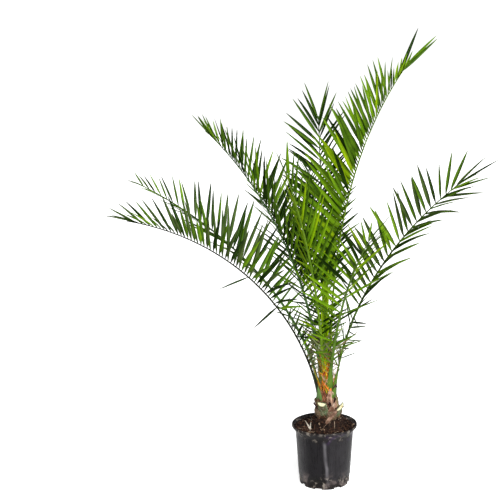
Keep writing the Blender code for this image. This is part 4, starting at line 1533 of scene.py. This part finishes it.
FRONDS = (
    Frond("tall_right", 30, 0.13, 0.0125, 24, 0.7, 38.8, 1.67, 0.91, 0.27, 0.188, 72, Stalk.FRESH, SUNNY,
          spread_at_base=66.0, spread_near_tip=43.0, tip_share=0.48, spacing=0.0168, width_share=0.08,
          half_width=0.0062, strays=TALL_STRAYS, outer_tones=GREEN, short_from=0.86),
    Frond("back_upright", 92, 0.135, 0.0115, 100, 4, 10, 1.0, 0.72, 0.3, 0.146, 14, Stalk.BLUE, DARK,
          spread_at_base=52.0, spread_near_tip=46.0, tip_share=0.85, roll=-36, half_width=0.0054,
          spacing=0.016),
    Frond("left_upper", 148, 0.127, 0.014, 148, 7, 48, 1.08, 0.8, 0.28, 0.172, 62, Stalk.BLUE, LEAFY,
          tip_share=0.42, half_width=0.006, spacing=0.015, width_share=0.074),
    Frond("left_middle", 174, 0.103, 0.022, 168, 1, 65, 0.57, 0.79, 0.34, 0.165, 30, Stalk.BLUE, DULL,
          spread_at_base=46.0, spread_near_tip=18.0, left_spread_share=1.9, tip_share=0.28, roll=-26,
          left_spine_share=0.55, spine_fold=(14.0, 56.0)),
    Frond("left_lower", 212, 0.096, 0.0245, 205, 14, 63, 1.02, 0.765, 0.32, 0.157, 60, Stalk.DARK, DULL,
          spread_at_base=84.0, spread_near_tip=40.0, tip_share=0.5, roll=-24, spacing=0.019,
          width_share=0.076, strays=LEFT_STRAYS, left_spine_share=0.35, spine_fold=(14.0, 56.0)),
    Frond("right_lower", -27, 0.101, 0.0235, -24, 5.5, 45.5, 0.85, 0.7, 0.33, 0.155, 15, Stalk.OLIVE, OPEN,
          spread_at_base=76.0, spread_near_tip=74.0, left_spread_share=0.42, tip_share=0.7, roll=50,
          droop=0.05, spacing=0.0178, width_share=0.096, strays=RIGHT_STRAYS, left_width_share=0.7),
    Frond("front_young", 248, 0.133, 0.012, 238, 4, 26, 1.0, 0.62, 0.28, 0.18, 34, Stalk.FRESH, YOUNG,
          spread_at_base=36.0, spread_near_tip=18.0, half_width=0.0056, width_share=0.05, spacing=0.0215,
          shaded_side=1),
    Frond("back_low", 72, 0.106, 0.0215, 98, 14, 48, 0.9, 0.74, 0.32, 0.14, 30, Stalk.BLUE, DARK,
          spacing=0.017),
    Frond("back_left", 118, 0.112, 0.02, 122, 13, 40, 0.9, 0.62, 0.32, 0.15, 28, Stalk.BLUE, DULL,
          half_width=0.0062),
    Frond("front_right", 296, 0.113, 0.0195, 296, 8, 38, 1.0, 0.52, 0.3, 0.152, 21, Stalk.OLIVE, GREEN,
          half_width=0.006),
)


@dataclass(frozen=True)
class Leaf:
    """One leaflet or spine before it is laid: its place on the rib, its size and its angles in degrees."""

    frame: Frame
    side: int
    spread: float
    fold: float
    length: float
    width: float
    droop: float = 0.03
    shaded: bool = False

    def axes(self, turn: float) -> tuple[Vector, Vector, Vector]:
        """Return the way it points, the way its blade lies and the way its upper face looks.

        Args:
            turn: What is added to its fold, in degrees.

        Returns:
            Three unit vectors.
        """
        spread, fold = math.radians(self.spread), math.radians(self.fold + turn)
        out = self.frame.across * self.side * math.cos(fold) + self.frame.upper * math.sin(fold)
        direction = self.frame.along * math.cos(spread) + out * math.sin(spread)
        broad = (self.frame.along - direction * self.frame.along.dot(direction)).normalized()
        face = direction.cross(broad)
        return direction, broad, face if face.dot(self.frame.upper) > 0 else -face


@dataclass
class Rib:
    """A frond's petiole and rib: a channelled stalk that clasps the bole and thins to the frond's tip."""

    frond: Frond
    steps: int = 60
    joint_half_width: float = 0.0042
    joint_half_thickness: float = 0.003
    tip_half_width: float = 0.0012
    clasp: float = 0.006
    clasp_length: float = 0.034
    sink: float = 0.026
    ring_spacing: float = 0.014
    hollow: float = 0.35
    upper_height: float = 0.55

    def __post_init__(self) -> None:
        """Walk up the rib from its seat and keep the points passed."""
        frond = self.frond
        self.away = outward(math.radians(frond.heading))
        point = trunk_axis(frond.seat_height) + outward(math.radians(frond.seat_angle)) * frond.seat_radius
        self.walk = [point]
        for index in range(self.steps):
            along, _ = leaned(self.away, self.lean((index + 0.5) / self.steps))
            point = point + along * frond.length / self.steps
            self.walk.append(point)

    def lean(self, share: float) -> float:
        """Return the rib's lean at a share of its length."""
        return math.radians(self.frond.lean + self.frond.bend * share ** self.frond.bend_power)

    def frame(self, share: float) -> Frame:
        """Return the rib's frame at a share of its length."""
        place = share * self.steps
        whole = min(int(place + 1e-9), self.steps - 1)
        along, upper = leaned(self.away, self.lean(share))
        rolled = math.radians(self.frond.roll) * min(share / self.frond.blade_from, 1.0)
        turn = Matrix.Rotation(rolled, 3, along)
        point = self.walk[whole].lerp(self.walk[whole + 1], place - whole)
        return Frame(point, along, turn @ upper, turn @ upper.cross(along))

    def size(self, share: float) -> tuple[float, float]:
        """Return half the rib's width and half its thickness at a share of its length."""
        frond = self.frond
        if share < frond.blade_from:
            mix = share / frond.blade_from
            wide = frond.half_width + (self.joint_half_width - frond.half_width) * mix ** 0.8
            thick = frond.half_thickness + (self.joint_half_thickness - frond.half_thickness) * mix
        else:
            mix = (share - frond.blade_from) / (1.0 - frond.blade_from)
            wide = self.joint_half_width + (self.tip_half_width - self.joint_half_width) * mix
            thick = self.joint_half_thickness + (self.tip_half_width - self.joint_half_thickness) * mix
        grip = math.exp(-(share * frond.length / self.clasp_length) ** 2)
        return wide + self.clasp * grip, thick + 0.15 * self.clasp * grip

    def rings(self) -> list[Matrix]:
        """Return the rings of the whole stalk, from inside the bole to the frond's tip."""
        count = int(self.frond.length / self.ring_spacing)
        foot = self.frame(0.0)
        wide, thick = self.size(0.0)
        sunk = Frame(foot.point - foot.along * self.sink, foot.along, foot.upper, foot.across)
        rings = [sunk.matrix(wide, thick)]
        for index in range(count + 1):
            share = index / count
            rings.append(self.frame(share).matrix(*self.size(share)))
        return rings

    def build(self, palette: Palette) -> bpy.types.Object:
        """Return the stalk as one piece."""
        def channelled(point: Vector) -> Vector:
            hollow = self.hollow * (1.0 - min(1.0, abs(point.x) / 0.75) ** 2)
            return Vector((point.x, (self.upper_height - hollow) * point.y if point.y > 0 else point.y, 0.0))

        bm = loft(self.rings(), 14, channelled)
        name = f"rib_{self.frond.name}"
        mesh = made_mesh(name, bm, [palette.materials[palette.number[self.frond.stalk]]])
        return finished(name, mesh, "petiole_green", [f"petiole_{self.frond.name}"], 55.0)


@dataclass
class Crown:
    """The fronds: ribs, leaflets, the spines on their petioles and the closed spear in the middle."""

    first: float = 0.02
    min_width: float = 0.0055
    thickness: float = 0.0011
    first_share: float = 0.62
    longest: float = 0.3
    taper_power: float = 1.2
    spread_at_tip: float = 12.0
    tip_from: float = 0.84
    short_share: float = 0.56
    jitter: float = 5.0
    spine_spacing: float = 0.0165
    spine_first: float = 0.04
    spine_length: float = 0.095
    leafy_from: float = 0.075
    stations: tuple = (0.0, 0.05, 0.14, 0.27, 0.42, 0.57, 0.71, 0.83, 0.92, 0.975, 1.0)
    widths: tuple = (0.34, 0.6, 0.86, 1.0, 0.97, 0.86, 0.69, 0.49, 0.29, 0.13, 0.03)
    creases: tuple = (62.0, 46.0, 30.0, 22.0, 18.0, 16.0, 14.0, 12.0, 10.0, 8.0, 6.0)
    turns: tuple = (0.0, 10.0, -10.0, 20.0, -20.0, 30.0, -30.0)
    midrib_share: float = 0.13
    dry_from: float = 0.955
    spine_to: float = 1.6
    spine_bend: float = 0.12
    spear_foot: float = 0.1555
    spear_length: float = 0.34
    spear_leaves: int = 22
    shares_kept: tuple = (1.0, 0.82)
    stray_length_share: float = 1.03
    stray_width_share: float = 0.07
    strays_shaded_to: float = 0.6
    dry_tips: float = 0.35
    skipped: int = 0

    def __post_init__(self) -> None:
        """Make the ribs, the moulds and the room that the stalks take up."""
        self.ribs = [Rib(frond) for frond in FRONDS]
        self.blade = self.leaflet_mould()
        self.spine = strand_mould(4, 3)
        self.room: dict[str, tuple[list, list]] = {}

    def leaflet_mould(self) -> Mould:
        """Return the mould of a leaflet: a creased strip with a narrow midrib on top, closed underneath."""
        quarter = Matrix.Rotation(QUARTER_TURN, 4, "Z")

        def section(point: Vector) -> Vector:
            point = quarter @ point
            if abs(point.x) > 0.9:
                return Vector((0.0, math.copysign(1.0, point.x), 0.0))
            return Vector((0.0, math.copysign(self.midrib_share, point.x), math.copysign(1.0, point.y)))

        def kind(middle: Vector) -> int:
            if middle.x > self.dry_from:
                return 3
            if abs(middle.y) < 0.1 and middle.z > 0.5:
                return 1
            return 0 if middle.z > 0 else 2

        rings = [Matrix.Translation((station, 0.0, 0.0)) for station in self.stations]
        return Mould.of(loft(rings, 6, section), kind)

    def lay(self, leaf: Leaf, turn: float, share: float, twist: float) -> np.ndarray:
        """Bend the leaflet's mould into place.

        Args:
            leaf: The leaflet.
            turn: What is added to its fold, in degrees.
            share: The share of its length that is kept.
            twist: How far its blade turns from root to tip, in radians.

        Returns:
            Its points.
        """
        direction, broad, face = (np.array(axis) for axis in leaf.axes(turn))
        along = self.blade.along
        length = leaf.length * share
        wide = np.interp(along, self.stations, self.widths) * leaf.width / 2
        crease = np.radians(np.interp(along, self.stations, self.creases))
        angle = twist * along
        side = np.outer(np.cos(angle), broad) + np.outer(np.sin(angle), face)
        over = np.outer(np.cos(angle), face) - np.outer(np.sin(angle), broad)
        sag = np.array((0.0, 0.0, -1.0)) * leaf.droop * length
        middle = np.array(leaf.frame.point) + np.outer(along * length, direction)
        middle = middle + np.outer(along ** 2, sag)
        aside = self.blade.aside * wide * np.cos(crease)
        lift = np.abs(self.blade.aside) * wide * np.sin(crease)
        lift = lift + self.blade.lift * 0.5 * self.thickness * (1.0 - 0.6 * along)
        return middle + side * aside[:, None] + over * lift[:, None]

    def occupy(self, name: str, points: np.ndarray, faces: list[tuple[int, ...]]) -> None:
        """Add faces to the room that a frond takes up."""
        kept, kept_faces = self.room.setdefault(name, ([], []))
        offset = len(kept)
        kept.extend(points.tolist())
        kept_faces.extend(tuple(index + offset for index in face) for face in faces)

    def others(self, name: str) -> BVHTree:
        """Return a search tree of everything but one frond."""
        points: list = []
        faces: list = []
        for owner, (more, more_faces) in self.room.items():
            if owner != name:
                offset = len(points)
                points.extend(more)
                faces.extend(tuple(index + offset for index in face) for face in more_faces)
        return BVHTree.FromPolygons(points, faces)

    def length_share(self, frond: Frond, place: float) -> float:
        """Return a leaflet's share of the longest one's length at a place along the blade."""
        if place < self.longest:
            grown = math.sin(0.5 * math.pi * place / self.longest)
            return self.first_share + (1.0 - self.first_share) * grown
        past = (place - self.longest) / (1.0 - self.longest)
        return 1.0 - (1.0 - frond.tip_share) * past ** self.taper_power

    def spread(self, frond: Frond, place: float) -> float:
        """Return the angle between a leaflet and the rib at a place along the blade, in degrees."""
        angles = (frond.spread_at_base, frond.spread_near_tip, self.spread_at_tip)
        return float(np.interp(place, (0.0, self.tip_from, 1.0), angles))

    def leaves(self, rib: Rib, chance: random.Random) -> list[Leaf]:
        """Return a frond's leaflets by the solids' rule, set closer."""
        frond = rib.frond
        blade = frond.length * (1.0 - frond.blade_from)
        count = round((blade - self.first) / frond.spacing)
        leaves = []
        for index in range(count):
            for side in (-1, 1):
                place = (index + (0.25 if side < 0 else 0.75)) / count
                share = frond.blade_from + (self.first + place * (blade - self.first) * 0.985) / frond.length
                spread = self.spread(frond, place) * (frond.left_spread_share if side < 0 else 1.0)
                spread += chance.uniform(-self.jitter, self.jitter)
                fold = frond.fold + chance.uniform(-self.jitter, self.jitter) * 2.2
                length = frond.leaf_length * self.length_share(frond, place) * chance.uniform(0.9, 1.06)
                length *= self.short_share if place > frond.short_from else 1.0
                width = max(self.min_width, length * frond.width_share * chance.uniform(0.88, 1.1))
                width *= frond.left_width_share if side < 0 else 1.0
                droop = frond.droop * chance.uniform(0.4, 1.6) * (2.0 if side * frond.roll < 0 else 1.0)
                leaves.append(Leaf(rib.frame(share), side, spread, fold, length, width, droop))
        leaves += [self.stray(rib, stray) for stray in frond.strays]
        return leaves + [leaf for leaf, away in self.spines(rib, chance) if away > self.leafy_from]

    def stray(self, rib: Rib, stray: Stray) -> Leaf:
        """Return a leaflet that stands apart; one low on its rib is shaded."""
        return Leaf(rib.frame(stray.share), stray.side, stray.spread, stray.fold,
                    self.stray_length_share * stray.length, stray.length * self.stray_width_share,
                    shaded=stray.share < self.strays_shaded_to)

    def spines(self, rib: Rib, chance: random.Random) -> list[tuple[Leaf, float]]:
        """Return the spines along a petiole, each with its way up it: the higher, the longer and leafier."""
        frond = rib.frond
        petiole = frond.length * frond.blade_from
        spines = []
        for index in range(int((petiole - self.spine_first) / self.spine_spacing)):
            for side in (-1, 1):
                away = self.spine_first + self.spine_spacing * (index + (0.2 if side < 0 else 0.7))
                length = self.spine_length * (0.22 + 0.78 * away / petiole) * chance.uniform(0.8, 1.2)
                length *= frond.left_spine_share if side < 0 else 1.0
                spread = 60.0 + chance.uniform(-16, 12)
                fold = chance.uniform(*frond.spine_fold)
                thin = away < self.leafy_from
                width = chance.uniform(0.0022, 0.003) if thin else 0.0034 + 0.03 * length
                leaf = Leaf(rib.frame(away / frond.length), side, spread, fold, length, width)
                spines.append((leaf, away))
        return spines

    def frond_leaflets(self, rib: Rib, chance: random.Random, palette: Palette) -> bpy.types.Object:
        """Cast one frond's leaflets clear of the other fronds.

        Args:
            rib: The frond's rib.
            chance: The frond's own seeded choice.
            palette: The tones' materials.

        Returns:
            The frond's leaflets as one piece.
        """
        name = rib.frond.name
        tree = self.others(name)
        spray = Spray(f"leaflets_{name}", "leaflet_green", palette)
        inner = rib.frond.tones
        outer = rib.frond.outer_tones or inner
        far = (rib.walk[-1] - rib.walk[0]).length
        for leaf in self.leaves(rib, chance):
            twist = chance.uniform(-0.5, 0.5)
            away = (leaf.frame.point - rib.walk[0]).length / far
            dealt = outer if away > chance.uniform(0.52, 0.72) else inner
            tones, weights = zip(*(GREEN if leaf.side == rib.frond.shaded_side else dealt))
            tone = chance.choices(tones, weights)[0]
            tone = Tone.DEEP if leaf.shaded else tone
            points = self.clear(leaf, tree, twist)
            if points is None:
                self.skipped += 1
                continue
            midrib = Tone.LIGHT_RIB if tone in (Tone.FRESH, Tone.BRIGHT) else Tone.DARK_RIB
            tip = Tone.DRY if chance.random() < self.dry_tips else tone
            spray.add(self.blade, points, tone, midrib, tone, tip)
            self.occupy(name, points, self.blade.faces)
        return spray.join([f"frond_{name}"])

    def clear(self, leaf: Leaf, tree: BVHTree, twist: float) -> np.ndarray | None:
        """Return a leaflet's points where it is clear of the tree, or None."""
        for share in self.shares_kept:
            for turn in self.turns:
                points = self.lay(leaf, turn, share, twist)
                if not tree.overlap(BVHTree.FromPolygons(points.tolist(), self.blade.faces)):
                    return points
        return None

    def spear(self, palette: Palette) -> bpy.types.Object:
        """Return the closed spear: a bundle of folded young leaflets round a thin rib."""
        chance = random.Random(77)
        spray = Spray("spear_leaflets", "spear_yellow", palette)
        foot = trunk_axis(self.spear_foot)
        for index in range(self.spear_leaves):
            rise = self.spear_length * 0.62 * index / self.spear_leaves
            away = outward(index * GOLDEN_ANGLE)
            frame = Frame(foot + UP * rise, UP, -away, away.cross(UP))
            spread = 4.0 + 3.0 * chance.random()
            length = self.spear_length * chance.uniform(0.36, 0.42)
            leaf = Leaf(frame, side=1, spread=spread, fold=90.0, length=length, width=0.0095, droop=0.0)
            tone = chance.choice((Tone.FRESH, Tone.FRESH, Tone.BRIGHT))
            points = self.lay(leaf, 0.0, 1.0, 0.2) + np.array(away * 0.0012)
            spray.add(self.blade, points, tone, Tone.LIGHT_RIB, tone, tone)
        return spray.join(["spear"])

    def build(self) -> list[bpy.types.Object]:
        """Return every piece of the crown."""
        stalks, tones = Palette(Stalk), Palette(Tone)
        made = []
        for rib in self.ribs:
            piece = rib.build(stalks)
            made.append(piece)
            points = np.array([vert.co[:] for vert in piece.data.vertices])
            self.occupy(rib.frond.name, points, [tuple(face.vertices) for face in piece.data.polygons])
        for number, rib in enumerate(self.ribs):
            made.append(self.frond_leaflets(rib, random.Random(number + 1), tones))
        spines = Spray("spines", "petiole_green", Palette(Spine))
        for number, rib in enumerate(self.ribs):
            for leaf, away in self.spines(rib, random.Random(100 + number)):
                if away <= self.spine_to * self.leafy_from:
                    run = leaf.axes(0.0)[0] * leaf.length
                    bend = leaf.frame.along * self.spine_bend * leaf.length
                    points = strand(self.spine, leaf.frame.point, run, bend, leaf.width / 2)
                    spines.add(self.spine, points, Spine.OLIVE)
        made += [spines.join([]), self.spear(tones)]
        LOG.info("leaflets left out for want of room: %d", self.skipped)
        return made


# Studio


@dataclass
class Studio:
    """The floor, the soft lights and the camera."""

    camera_place: tuple = (0.0, -2.7, 1.15)
    pitch: float = 10.4
    lens: float = 73.66
    axis_column: float = 324.4
    frame_side: float = 500.0
    floor_radius: float = 14.0
    grid_angle: float = 12.0
    glow_lit: float = 0.31
    glow_seen: float = 0.81
    sun_power: float = 3.3
    sun_angle: float = 40.0
    sun_place: tuple = (1.1, -2.0, 3.0)
    sun_target: tuple = (0.0, 0.0, 0.4)
    pot_middle: tuple = (0.0, 0.0, 0.1)

    def floor(self) -> None:
        """Lay the pale floor."""
        bm = bmesh.new()
        bmesh.ops.create_circle(bm, cap_ends=True, segments=96, radius=self.floor_radius)
        mesh = made_mesh("studio_floor", bm, [FloorFinish("pale_floor").make()])
        piece = linked("studio_floor", mesh)

    def soft_light(self, name: str, place: tuple, size: tuple, power: float) -> None:
        """Hang one soft light with a grid that keeps it on the pot.

        Args:
            name: The light's name.
            place: Where it hangs.
            size: The width and height of its face.
            power: Its power in watts.
        """
        light = bpy.data.lights.new(name, "AREA")
        light.shape = "RECTANGLE"
        light.size, light.size_y = size
        light.energy = power
        light.spread = math.radians(self.grid_angle)
        self.hang(name, light, place, self.pot_middle)

    def hang(self, name: str, light: bpy.types.Light, place: tuple, target: tuple) -> None:
        """Place a light and turn it to its target."""
        lamp = linked(name, light)
        lamp.location = place
        lamp.rotation_euler = (Vector(target) - Vector(place)).to_track_quat("-Z", "Y").to_euler()

    def light(self) -> None:
        """Light the studio from all round, with a broad soft sun in front, two strips and a panel."""
        world = bpy.data.worlds.new("studio_white")
        bpy.context.scene.world = world
        world.use_nodes = True
        graph = Graph(world.node_tree)
        seen = graph.node("ShaderNodeLightPath").outputs["Is Camera Ray"]
        strength = graph.line(seen, self.glow_seen, self.glow_lit)
        back = graph.node("ShaderNodeBackground", {"Color": (1.0, 1.0, 1.0), "Strength": strength})
        graph.node("ShaderNodeOutputWorld", {"Surface": back.outputs[0]})
        sun = bpy.data.lights.new("broad_sun", "SUN")
        sun.energy = self.sun_power
        sun.angle = math.radians(self.sun_angle)
        self.hang("broad_sun", sun, self.sun_place, self.sun_target)
        self.soft_light("front_strip", (0.1, -3.3, 0.9), (0.16, 1.0), 0.5)
        self.soft_light("right_panel", (2.6, -2.0, 0.9), (1.1, 1.0), 0.06)
        self.soft_light("left_strip", (-2.04, 0.82, 0.7), (0.35, 1.0), 0.15)

    def camera(self) -> None:
        """Set the camera at the photograph's angle."""
        data = bpy.data.cameras.new("camera")
        data.lens = self.lens
        data.sensor_width = 36.0
        data.shift_x = (0.5 * self.frame_side - self.axis_column) / self.frame_side
        item = linked("camera", data)
        item.location = self.camera_place
        item.rotation_euler = (math.radians(90.0 - self.pitch), 0.0, 0.0)
        bpy.context.scene.camera = item

    def build(self) -> None:
        """Set up the whole studio."""
        self.floor()
        self.light()
        self.camera()
        bpy.context.scene.view_settings.view_transform = "Standard"


def main() -> None:
    """Dress the whole plant."""
    logging.basicConfig(level=logging.INFO, format="%(message)s")
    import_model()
    pieces = [Pot().build()]
    soil = Soil()
    pieces.append(soil.bed())
    pieces += soil.litter()
    pieces += Bole().build()
    pieces += Crown().build()
    Studio().build()
    LOG.info("%d pieces", len(pieces))


if __name__ == "__main__":
    main()
